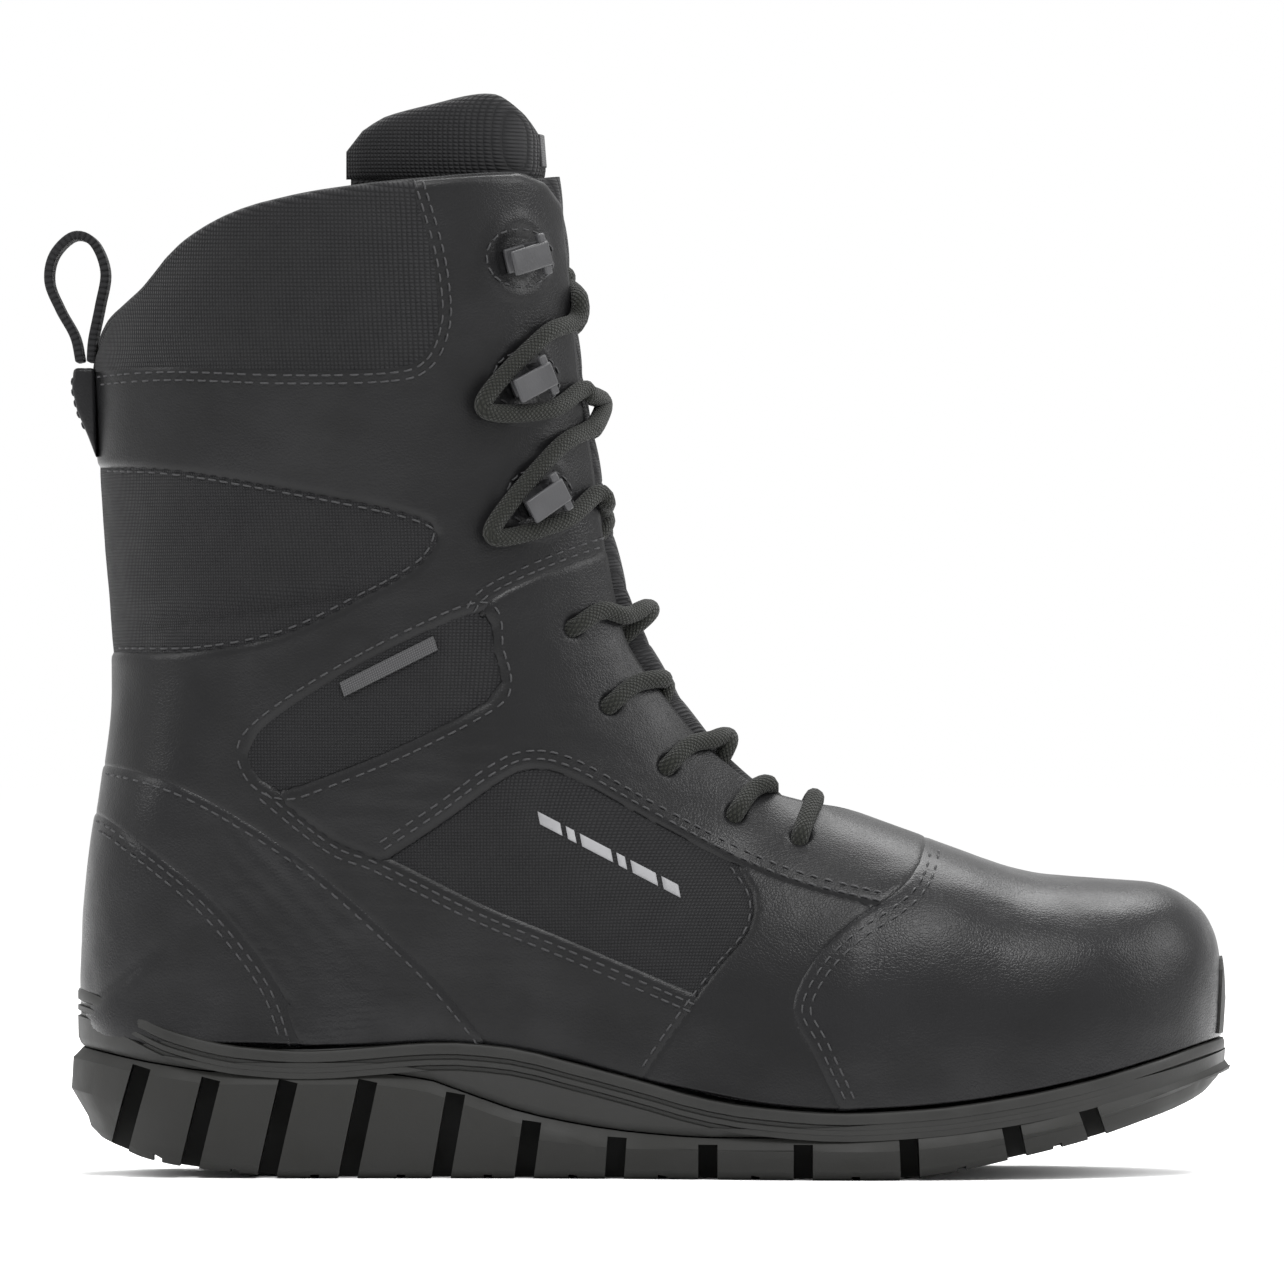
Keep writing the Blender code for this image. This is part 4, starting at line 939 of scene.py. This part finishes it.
def make_midsole(materials):
    """Wall between the tread and the upper, with two grooves under its rim."""
    rim = rim_line()
    levels = [(2.6, -146.2, 154.0, PARTING, 0.45), (2.0, -146.9, 154.3, PARTING, 1.1),
              (1.4, -147.5, 154.4, PARTING, 2.6)]
    for drop, inset in ((7.4, 1.2), (7.0, 2.0), (6.2, 2.0), (5.8, 1.2), (4.6, 1.2), (4.2, 2.0),
                        (3.4, 2.0), (3.0, 1.2), (1.0, 1.2), (0.3, 1.5), (0.0, 2.2)):
        levels.append((inset, -148.8 + inset, 155.3 - inset, rim, -drop))
    levels += [(3.0, -145.4, 151.9, rim, 0.0), (3.1, -145.3, 151.7, BOARD, 0.0)]
    midsole = link_mesh("midsole_wall", sole_bmesh(levels, SOLE_STEPS))
    smooth_by_angle(midsole, 40)
    finish_piece(midsole, "root", "rubber", materials["midsole"], "midsole")


# ---------------------------------------------------------------- tubes, ribbons and stitches

def tube_bmesh(points, radius):
    """Round tube along points, its UV map turned so that a weave runs as a braid does."""
    data = bmesh.new()
    points = [Vector(p) for p in points]
    turns = [2 * math.pi * k / TUBE_SIDES for k in range(TUBE_SIDES)]
    rings, lengths = [], [0.0]
    side = Vector((0.3, 1, 0.2)).normalized()
    for i, point in enumerate(points):
        ahead = points[min(i + 1, len(points) - 1)] - points[max(i - 1, 0)]
        ahead.normalize()
        side = (side - ahead * side.dot(ahead)).normalized()
        up = ahead.cross(side)
        if i:
            lengths.append(lengths[-1] + (point - points[i - 1]).length)
        rings.append([data.verts.new(point + (side * math.cos(t) + up * math.sin(t)) * radius)
                      for t in turns])
    pitch = 2 * math.pi * radius / TUBE_SIDES
    grid_faces(data, rings, lambda r, c: (pitch * c + lengths[r], pitch * c - lengths[r]), closed=True)
    data.faces.new(rings[0][::-1])
    data.faces.new(rings[-1])
    return data


def make_lace(materials):
    strands = [strand_points(side) for side in BOTH_SIDES]
    points = smooth_points(strands[0][::-1] + strands[1][1:], 1.6)
    lace = link_mesh("lace_braided", tube_bmesh(points, LACE_DIAMETER / 2))
    finish_piece(lace, "root", "lace", materials["lace"], "lace")


def add_stitch(data, place, along, normal):
    """One raised thread stitch: a small bent rod whose ends dive into the surface."""
    length, radius = 2.3, 0.30
    across = normal.cross(along).normalized()
    turns = (0.0, math.pi / 3, 2 * math.pi / 3, math.pi, 3 * math.pi / 2)
    rings = []
    for t, rise in ((-0.5, -0.25), (-0.3, 0.16), (0.0, 0.26), (0.3, 0.16), (0.5, -0.25)):
        middle = place + along * (t * length) + normal * rise
        rings.append([data.verts.new(middle + (across * math.cos(a) + normal * math.sin(a)) * radius)
                      for a in turns])
    grid_faces(data, rings, closed=True)


def panel_tree(pieces):
    """Ray-cast tree of what the panels look like from outside, in millimetres."""
    data = bmesh.new()
    graph = bpy.context.evaluated_depsgraph_get()
    for piece in pieces:
        data.from_mesh(piece.evaluated_get(graph).to_mesh())
        piece.evaluated_get(graph).to_mesh_clear()
    data.transform(Matrix.Scale(1 / MM, 4))
    tree = BVHTree.FromBMesh(data)
    data.free()
    return tree


def stitch_row(data, tree, outline, offset, pitch=3.1, closed=False):
    """Stitches along an outline of the side view, moved sideways by offset, on both sides."""
    edge_on, longest_step = 0.22, 6
    points = [np.array(p) for p in smooth_points(outline, 1.0, closed)]
    moved = []
    for i, point in enumerate(points):
        ahead = points[min(i + 1, len(points) - 1)] - points[max(i - 1, 0)]
        length = np.linalg.norm(ahead)
        if length > 0:
            moved.append(point + np.array((-ahead[1], ahead[0])) / length * offset)
    for side in BOTH_SIDES:
        last = None
        walked = 0.0
        for x, z in moved:
            hit, normal = cast_inwards(tree, side, x, z)
            if not hit or abs(normal.y) < edge_on:
                last = None
                continue
            if last and (hit - last).length <= longest_step:
                step = hit - last
                walked += step.length
                if walked >= pitch:
                    walked = 0.0
                    add_stitch(data, hit - step * 0.5, step.normalized(), normal)
            last = hit


def make_stitching(tree, materials):
    """Thread along the seams, once or twice, and in an oval round each hook."""
    data = bmesh.new()
    rows = (
        ("vamp", (-1.9, -4.1)), ("side_panel", (-1.8,)), ("mesh_top", (1.8, 3.9)),
        ("quarter_line", (1.8, 3.9)), ("heel_band", (-1.8,)), ("counter", (-1.8, -3.9)),
        ("shaft_mesh", (-1.8,)), ("collar", (-1.8, -3.9)), ("facing", (1.8, 3.9)),
    )
    for name, offsets in rows:
        for offset in offsets:
            stitch_row(data, tree, SEAMS[name], offset)
    stitch_row(data, tree, ANKLE_MESH_LOOP, 1.8, closed=True)
    long, tall, forward = 8.6, 7.6, 1.0
    for rib, half in HOOKS:
        middle = on_rib(rib, half, LATERAL)[0]
        ring = [(middle.x + forward + long * math.cos(a), middle.z + tall * math.sin(a))
                for a in np.linspace(0, 2 * math.pi, 14, endpoint=False)]
        stitch_row(data, tree, ring, 0.0, pitch=2.8, closed=True)
    stitching = link_mesh("stitching", data)
    finish_piece(stitching, "root", "leather", materials["thread"])


# ---------------------------------------------------------------- lining, collar rim, tongue

def plain_sheet(name, points, normals, depth, keep=None):
    """Sheet under the upper's surface from a two-sided grid."""
    data = bmesh.new()
    layer = data.loops.layers.uv.new("UVMap")
    for side in points:
        verts = [[data.verts.new(Vector(p) - Vector(n) * depth(Vector(p))) for p, n in zip(*row)]
                 for row in zip(points[side], normals[side])]
        for a, b in zip(verts, verts[1:]):
            for c in range(len(a) - 1):
                corners = [a[c], a[c + 1], b[c + 1], b[c]]
                if keep and not all(keep(v.co) for v in corners):
                    continue
                face = data.faces.new(corners if side == LATERAL else corners[::-1])
                for loop in face.loops:
                    loop[layer].uv = side_uv(loop.vert.co)
    loose = [v for v in data.verts if not v.link_faces]
    bmesh.ops.delete(data, geom=loose, context="VERTS")
    bmesh.ops.remove_doubles(data, verts=data.verts, dist=0.05)
    return link_mesh(name, data)


def lining_depth(point):
    """Depth of the lining under the upper: more over the toe cap, the counter and the collar's foam."""
    heel = ease(-78, -90, point.x) * ease(108, 94, point.z)
    collar = ease(-52, -66, point.x) * ease(178, 196, point.z)
    toe = ease(84, 92, point.x)
    return 3.6 + 2.1 * toe + 4.1 * heel + 5.8 * collar


def collar_height(x):
    """Height of the collar's line at x, between the pull loop and the facing."""
    return height(tuple(p for p in COLLAR_TOP if -148 < p[0] < -18), x)


def make_lining(materials):
    """Knitted lining, set back from the lacing and kept under the collar's line."""
    setback, below_collar, thickness = 17.0, 2.0, 1.2
    rib_step, columns = 0.35, 70

    def clear_of_lace(rib):
        return facing_gap(rib) + setback * ease(THROAT_RIB - 0.9, THROAT_RIB, rib)

    points, normals = two_sided(np.arange(0, LAST_RIB, rib_step), columns, clear_of_lace)
    lining = plain_sheet("lining_knit", points, normals, lining_depth,
                         lambda co: co.z < collar_height(co.x) - below_collar)
    thicken(lining, thickness)
    finish_piece(lining, "root", "lining", materials["lining"], "lining")


def collar_line(surface):
    """Points and normals of the upper's surface along the collar's top, round the back."""
    data = bmesh.new()
    for side in surface.points:
        grid_faces(data, [[data.verts.new(p) for p in row] for row in surface.points[side][-60:]])
    data.normal_update()
    tree = BVHTree.FromBMesh(data)
    data.free()
    line = []
    for x in np.concatenate((np.linspace(-20.5, -120, 60), np.linspace(-121, -140.2, 22))):
        hit, normal = cast_inwards(tree, LATERAL, x, collar_height(x))
        if hit:
            line.append((hit, normal if normal.y < 0 else -normal))
    mirrored = [(Vector((p.x, -p.y, p.z)), Vector((n.x, -n.y, n.z))) for p, n in line]
    back = Vector((line[-1][0].x - 0.8, 0, line[-1][0].z - 0.6))
    return line + [(back, Vector((-1, 0, 0)))] + mirrored[::-1]


def make_collar_rim(surface, materials):
    """Padded roll that joins the collar's outer panels to the lining."""
    data = bmesh.new()
    rows, runs, last = [], [], None
    for place, normal in collar_line(surface):
        runs.append(runs[-1] + (place - last).length if last else 0.0)
        last = place
        padded = ease(-50, -66, place.x)
        outer = place + normal * (0.4 + 1.3 * padded)
        inner = place - normal * (4.6 + 5.6 * padded)
        middle, half = (outer + inner) / 2, (outer - inner) / 2
        tall = 2.2 + 1.6 * padded
        arc = [middle + half * math.cos(t) + Vector((0, 0, tall * (math.sin(t) - 1)))
               for t in np.linspace(-0.5, math.pi + 0.5, 13)]
        rows.append([data.verts.new(spot) for spot in arc])
    grid_faces(data, rows, lambda r, c: (runs[r], c * 1.2))
    data.faces.new(rows[0])
    data.faces.new(rows[-1][::-1])
    bmesh.ops.recalc_face_normals(data, faces=data.faces)
    rim = link_mesh("collar_rim", data)
    finish_piece(rim, "root", "textile", materials["collar"])


def tongue_depth(point):
    """Depth of the tongue's face: deeper under the facings, with quilting across it."""
    off = abs(point.y - centre(point.x, point.z))
    low = 2.9 * ease(2, 12, off) + 2.6 * ease(16, 21, off)
    quilt = 0.7 * abs(math.sin(point.z / 14 * math.pi)) ** 0.5
    return 6.0 + low - quilt


def make_tongue(materials):
    """Quilted tongue under the facings, a little wider at its top than at its root."""
    root_rib, top_rib, thickness = 7.7, 24.6, 4.2
    rib_step, columns = 0.12, 24

    def edge(rib):
        return 21.0 + 7.0 * (rib - root_rib) / 17.0

    ribs = np.arange(root_rib, top_rib, rib_step)
    points, normals = two_sided(ribs, columns, lambda rib: 0.0, edge)
    tongue = plain_sheet("tongue_padded", points, normals, tongue_depth)
    thicken(tongue, thickness)
    finish_piece(tongue, "tongue", "textile", materials["mesh"], "tongue")


def squared(value, power):
    """A sine or cosine pushed outwards, which makes a circle squarer."""
    return math.copysign(abs(value) ** power, value)


def tongue_top_line(x):
    """Height of the tongue's top edge at x."""
    return height(((-78, 266), (-74.9, 270.8), (-70, 275), (-50, 280.5), (-36, 283.2),
                   (-29, 279), (-24, 272)), x)


def make_tongue_top(materials):
    """Padded U round the front of the leg: a closed loft with round edges and a crowned face."""
    data = bmesh.new()
    back_x, reach, half_wide, low = -76.5, 52.0, 31.0, 259.6
    around, corner = 28, 0.62
    rows = []
    for turn in np.linspace(-math.pi / 2, math.pi / 2, 61):
        x, y = reach * math.cos(turn) ** 0.8, half_wide * squared(math.sin(turn), 0.9)
        edge = Vector((back_x + x, y, 0))
        inward = (Vector((back_x, 0, 0)) - edge).normalized()
        end = min(1.0, (math.pi / 2 - abs(turn)) / 0.16)
        thick = 3.9 * math.sqrt(max(0.05, 1 - (1 - end) ** 2))
        top = tongue_top_line(edge.x)
        tall = (top - low) / 2 * (0.82 + 0.18 * end)
        middle = edge + inward * 4.0 + Vector((0, 0, (low + top) / 2))
        row = []
        for t in np.linspace(0, 2 * math.pi, around, endpoint=False):
            up = squared(math.sin(t), corner)
            crown = 0.5 * math.sin(6 * turn) * (1 - abs(up))
            across = squared(math.cos(t), corner) * thick + crown * 0.3
            row.append(data.verts.new(middle - inward * across + Vector((0, 0, up * tall))))
        rows.append(row)
    grid_faces(data, rows, lambda r, c: side_uv(rows[r][c % around].co), closed=True)
    data.faces.new(rows[0])
    data.faces.new(rows[-1])
    bmesh.ops.recalc_face_normals(data, faces=data.faces)
    top = link_mesh("tongue_top_padded", data)
    finish_piece(top, "tongue_top", "textile", materials["collar"], "tongue_top")


# ---------------------------------------------------------------- trim

def ribbon(name, path, width, thickness):
    """Woven ribbon across Y along a path in the side view, with rounded edges."""
    step = 1.0
    data = bmesh.new()
    across = np.linspace(-width / 2, width / 2, 13)
    rows = [[data.verts.new((x, y, z)) for y in across] for x, z in smooth_points(path, step)]
    grid_faces(data, rows, lambda r, c: (across[c], r * step))
    obj = link_mesh(name, data)
    thicken(obj, thickness, 0.0)
    round_edges(obj, 0.6)
    return obj


def make_pull_loop(materials):
    """Webbing loop, both ends sewn into its base."""
    path = ((-144.0, 213.2), (-143.6, 219), (-141.8, 228), (-140.4, 237), (-143.4, 244.6),
            (-148.6, 246.4), (-153.8, 241.5), (-155.1, 234.4), (-152.2, 227), (-148.4, 220),
            (-146.9, 213.2))
    loop = ribbon("pull_loop_webbing", path, 17.0, 2.3)
    finish_piece(loop, "pull_loop", "webbing", materials["webbing"], "pull_loop")


def make_anchor(materials):
    """Sewn base of the pull loop, with two rows of stitches on its back face."""
    outline = ((-142.4, 187.6), (-142.8, 211.6), (-148.5, 211.6), (-148.9, 206.4),
               (-147.6, 200.4), (-144.6, 193.4))
    data = bmesh.new()
    prism_faces(data, [[data.verts.new((x, y, z)) for x, z in outline] for y in (-10, 10)])
    anchor = link_mesh("pull_loop_base", data)
    round_edges(anchor, 1.2)
    finish_piece(anchor, "root", "leather", materials["overlay"], "pull_loop_anchor")
    data = bmesh.new()
    back_x, back_z = zip(*outline[:1:-1])
    for y in (-8.0, 8.0):
        for z in np.arange(196.5, 210, 2.9):
            low, high = (Vector((np.interp(z + step, back_z, back_x), y, z + step)) for step in (-1, 1))
            along = (high - low).normalized()
            add_stitch(data, (low + high) / 2, along, Vector((-along.z, 0, along.x)))
    finish_piece(link_mesh("loop_stitches", data), "root", "leather", materials["thread"])


def make_print(tree, materials):
    """Plain slanted bars printed on the quarter's textile, on the outer side."""
    data = bmesh.new()
    low, along, up = Vector((-25.6, 0, 91.2)), Vector((36.6, 0, -19.2)), Vector((-1.1, 0, 5.6))
    bars = ((0.00, 0.16), (0.20, 0.26), (0.30, 0.52), (0.56, 0.62), (0.66, 0.84), (0.88, 1.0))
    for first, last in bars:
        steps = max(2, int((last - first) * 30))
        rows = []
        for j in range(5):
            row = []
            for i in range(steps + 1):
                spot = low + along * (first + (last - first) * i / steps) + up * (0.2 + 0.6 * j / 4)
                hit = cast_inwards(tree, LATERAL, spot.x, spot.z)[0]
                row.append(data.verts.new((spot.x, hit.y - 0.12, spot.z)))
            rows.append(row)
        grid_faces(data, rows)
    printed = link_mesh("printed_bars", data)
    thicken(printed, 0.15)
    finish_piece(printed, "root", "label", materials["print"])


def make_hook(name, rib, half, side, materials):
    """Speed hook: a base plate, a neck and an outer plate with ears."""
    place, normal = on_rib(rib, half, side)
    back = on_rib(rib, half + 2.0, side)[0] - on_rib(rib, half - 2.0, side)[0]
    back = (back - normal * back.dot(normal)).normalized()
    up = normal.cross(back) * -side
    low, high, plate = 0.9, HOOK_HEIGHT, 1.3
    front, neck, base = -4.0, -1.6, 5.0
    tip = HOOK_LENGTH + front
    outline = ((front, low), (base, low), (base, low + plate), (neck, low + plate),
               (neck, high - plate), (tip, high - plate), (tip, high), (front, high))
    data = bmesh.new()
    prism_faces(data, [[data.verts.new(place + back * a + normal * n + up * shift) for a, n in outline]
                       for shift in (-HOOK_WIDTH / 2, HOOK_WIDTH / 2)])
    ears = box_bmesh((2.4, 11.0, 1.9), (0, 0, 0))
    ears.transform(Matrix((back, up, normal)).transposed().to_4x4())
    ears.transform(Matrix.Translation(place + back * (front + 1.6) + normal * (high - plate)))
    mesh = bpy.data.meshes.new("ears")
    ears.to_mesh(mesh)
    ears.free()
    data.from_mesh(mesh)
    bpy.data.meshes.remove(mesh)
    bmesh.ops.recalc_face_normals(data, faces=data.faces)
    hook = link_mesh(name + "_moulded", data)
    round_edges(hook, 0.55)
    smooth_by_angle(hook, 40)
    finish_piece(hook, "root", "hook", materials["hook"], name)


def make_tab(name, low, along, up, laid_on, materials, body, node_name):
    """Small plain woven tab with rounded edges, laid on a surface by laid_on(place)."""
    data = bmesh.new()
    steps, tall = 24, 6
    rows = [[data.verts.new(laid_on(low + along * (i / steps) + up * (j / tall)))
             for i in range(steps + 1)] for j in range(tall + 1)]
    grid_faces(data, rows, lambda r, c: (along.length * c / steps, up.length * r / tall))
    tab = link_mesh(name, data)
    thicken(tab, 0.7, 0.0)
    round_edges(tab, 0.25)
    finish_piece(tab, body, "label", materials["label"], node_name)


def make_tabs(tree, materials):
    def on_side(spot):
        return Vector((spot.x, cast_inwards(tree, LATERAL, spot.x, spot.z)[0].y - 0.45, spot.z))

    def on_tongue(spot):
        return Vector((-24.55 - 0.08 * (spot.z - 263) - spot.y ** 2 * 0.013, spot.y, spot.z))

    make_tab("side_tab_woven", Vector((-76.8, 0, 125.4)), Vector((24.4, 0, 12.2)),
             Vector((-1.2, 0, 3.7)), on_side, materials, "root", "side_tab")
    make_tab("tongue_tab_woven", Vector((0, -9, 264.5)), Vector((0, 18, 0)), Vector((0, 0, 8.5)),
             on_tongue, materials, "tongue_top", "tongue_tab")


def dress_nodes(materials):
    """Materials of the CAD nodes that stay: the toe bumper and the layers inside."""
    slots = {"toe_bumper": "sole", "steel_toe_cap": "hidden", "heel_stiffener": "hidden",
             "collar_foam": "footbed", "steel_shank": "hidden", "puncture_plate": "hidden",
             "insole_board": "hidden", "footbed": "footbed"}
    for name, key in slots.items():
        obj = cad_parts[name]
        obj.data.materials.clear()
        obj.data.materials.append(materials[key])


# ---------------------------------------------------------------- camera, lights and floor

VIEW_WIDTH, VIEW_CENTRE_X, VIEW_CENTRE_Z, VIEW_DISTANCE = 0.3379, 0.0007, 0.1397, 3.4


def make_camera():
    camera = bpy.data.cameras.new("camera")
    camera.sensor_width = 36.0
    camera.lens = camera.sensor_width * VIEW_DISTANCE / VIEW_WIDTH
    obj = bpy.data.objects.new("camera", camera)
    obj.location = (VIEW_CENTRE_X, -VIEW_DISTANCE, VIEW_CENTRE_Z)
    obj.rotation_euler = (math.pi / 2, 0, 0)
    bpy.context.scene.collection.objects.link(obj)
    bpy.context.scene.camera = obj


def make_light(name, place, aim, size, power):
    light = bpy.data.lights.new(name, "AREA")
    light.shape = "RECTANGLE"
    light.size, light.size_y = size
    light.energy = power
    obj = bpy.data.objects.new(name, light)
    obj.location = place
    obj.rotation_euler = (Vector(aim) - Vector(place)).to_track_quat("-Z", "Y").to_euler()
    bpy.context.scene.collection.objects.link(obj)


def make_stage():
    """Plain white floor under a white sky, and soft studio lights."""
    data = bmesh.new()
    bmesh.ops.create_circle(data, cap_ends=True, segments=64, radius=9.0)
    floor = link_mesh("floor", data, 1.0)
    material = bpy.data.materials.new("floor")
    material.use_nodes = True
    shader = material.node_tree.nodes["Principled BSDF"]
    shader.inputs["Base Color"].default_value = (1, 1, 1, 1)
    shader.inputs["Roughness"].default_value = 0.8
    shader.inputs["Specular IOR Level"].default_value = 0.0
    floor.data.materials.append(material)
    world = bpy.data.worlds.new("studio")
    world.use_nodes = True
    world.node_tree.nodes["Background"].inputs[0].default_value = (1, 1, 1, 1)
    world.node_tree.nodes["Background"].inputs[1].default_value = 1.0
    bpy.context.scene.world = world
    bpy.context.scene.view_settings.view_transform = "Standard"
    make_light("key", (0.25, -0.9, 1.5), (0, 0, 0.12), (0.9, 0.5), 22)
    make_light("rim_toe", (1.3, -0.1, 0.9), (0.1, 0, 0.1), (0.5, 0.9), 12)
    make_light("rim_heel", (-1.3, -0.3, 0.9), (-0.1, 0, 0.15), (0.5, 0.9), 9)
    make_light("top", (0.15, 0.7, 1.4), (0.05, 0, 0.1), (1.2, 0.8), 26)


# ---------------------------------------------------------------- assembly

def make_upper(materials):
    """The panels with their lift over the surface, then what is sewn and printed on them."""
    surface = Surface()
    pieces = []

    def panel(name, shape, sides, lift, key, *nodes, **extra):
        piece = make_panel(surface, name, shape, sides, lift, **extra)
        slot = "textile" if key in ("mesh", "collar") else "leather"
        finish_piece(piece, "root", slot, materials[key], *nodes)
        pieces.append(piece)

    panel("vamp_leather", "toe_vamp", BOTH_SIDES, 0.35, "overlay", "toe_vamp")
    panel("eyestay_leather", "eyestay", BOTH_SIDES, 0.5, "leather", "eyestay")
    panel("heel_band_leather", "heel_band", BOTH_SIDES, 0.35, "overlay", "heel_band")
    panel("counter_leather", "heel_counter_cover", BOTH_SIDES, 0.7, "overlay", "heel_counter_cover")
    panel("collar_textile", "collar_mesh", BOTH_SIDES, -0.3, "collar", "collar_mesh", grow=1.4, puff=1.6,
          relief=False)
    panel("shaft_textile", "shaft_mesh", BOTH_SIDES, -0.8, "mesh", "shaft_mesh", grow=1.4, puff=0.5)
    for side, word in SIDE_WORDS:
        panel(f"side_leather_{word}", "side_panel", (side,), 0.1, "leather", f"side_panel_{word}")
        panel(f"quarter_leather_{word}", "quarter", (side,), 0.0, "leather", f"quarter_{word}")
        panel(f"quarter_textile_{word}", "quarter_mesh", (side,), -0.8, "mesh",
              f"quarter_mesh_{word}", grow=1.4, puff=0.4)
        panel(f"ankle_textile_{word}", "ankle_mesh", (side,), -0.8, "mesh", f"ankle_mesh_{word}",
              grow=1.4, puff=0.5)
    tree = panel_tree(pieces)
    make_stitching(tree, materials)
    make_tabs(tree, materials)
    make_print(tree, materials)
    make_collar_rim(surface, materials)


def make_all():
    make_camera()
    materials = make_materials()
    for make in (make_lace, make_outsole, make_midsole, make_upper, make_lining, make_tongue,
                 make_tongue_top, make_pull_loop, make_anchor):
        make(materials)
    for side, word in SIDE_WORDS:
        for i, (rib, half) in enumerate(HOOKS):
            make_hook(f"lace_hook_{word}_{i + 1}", rib, half, side, materials)
    dress_nodes(materials)
    make_stage()


make_all()
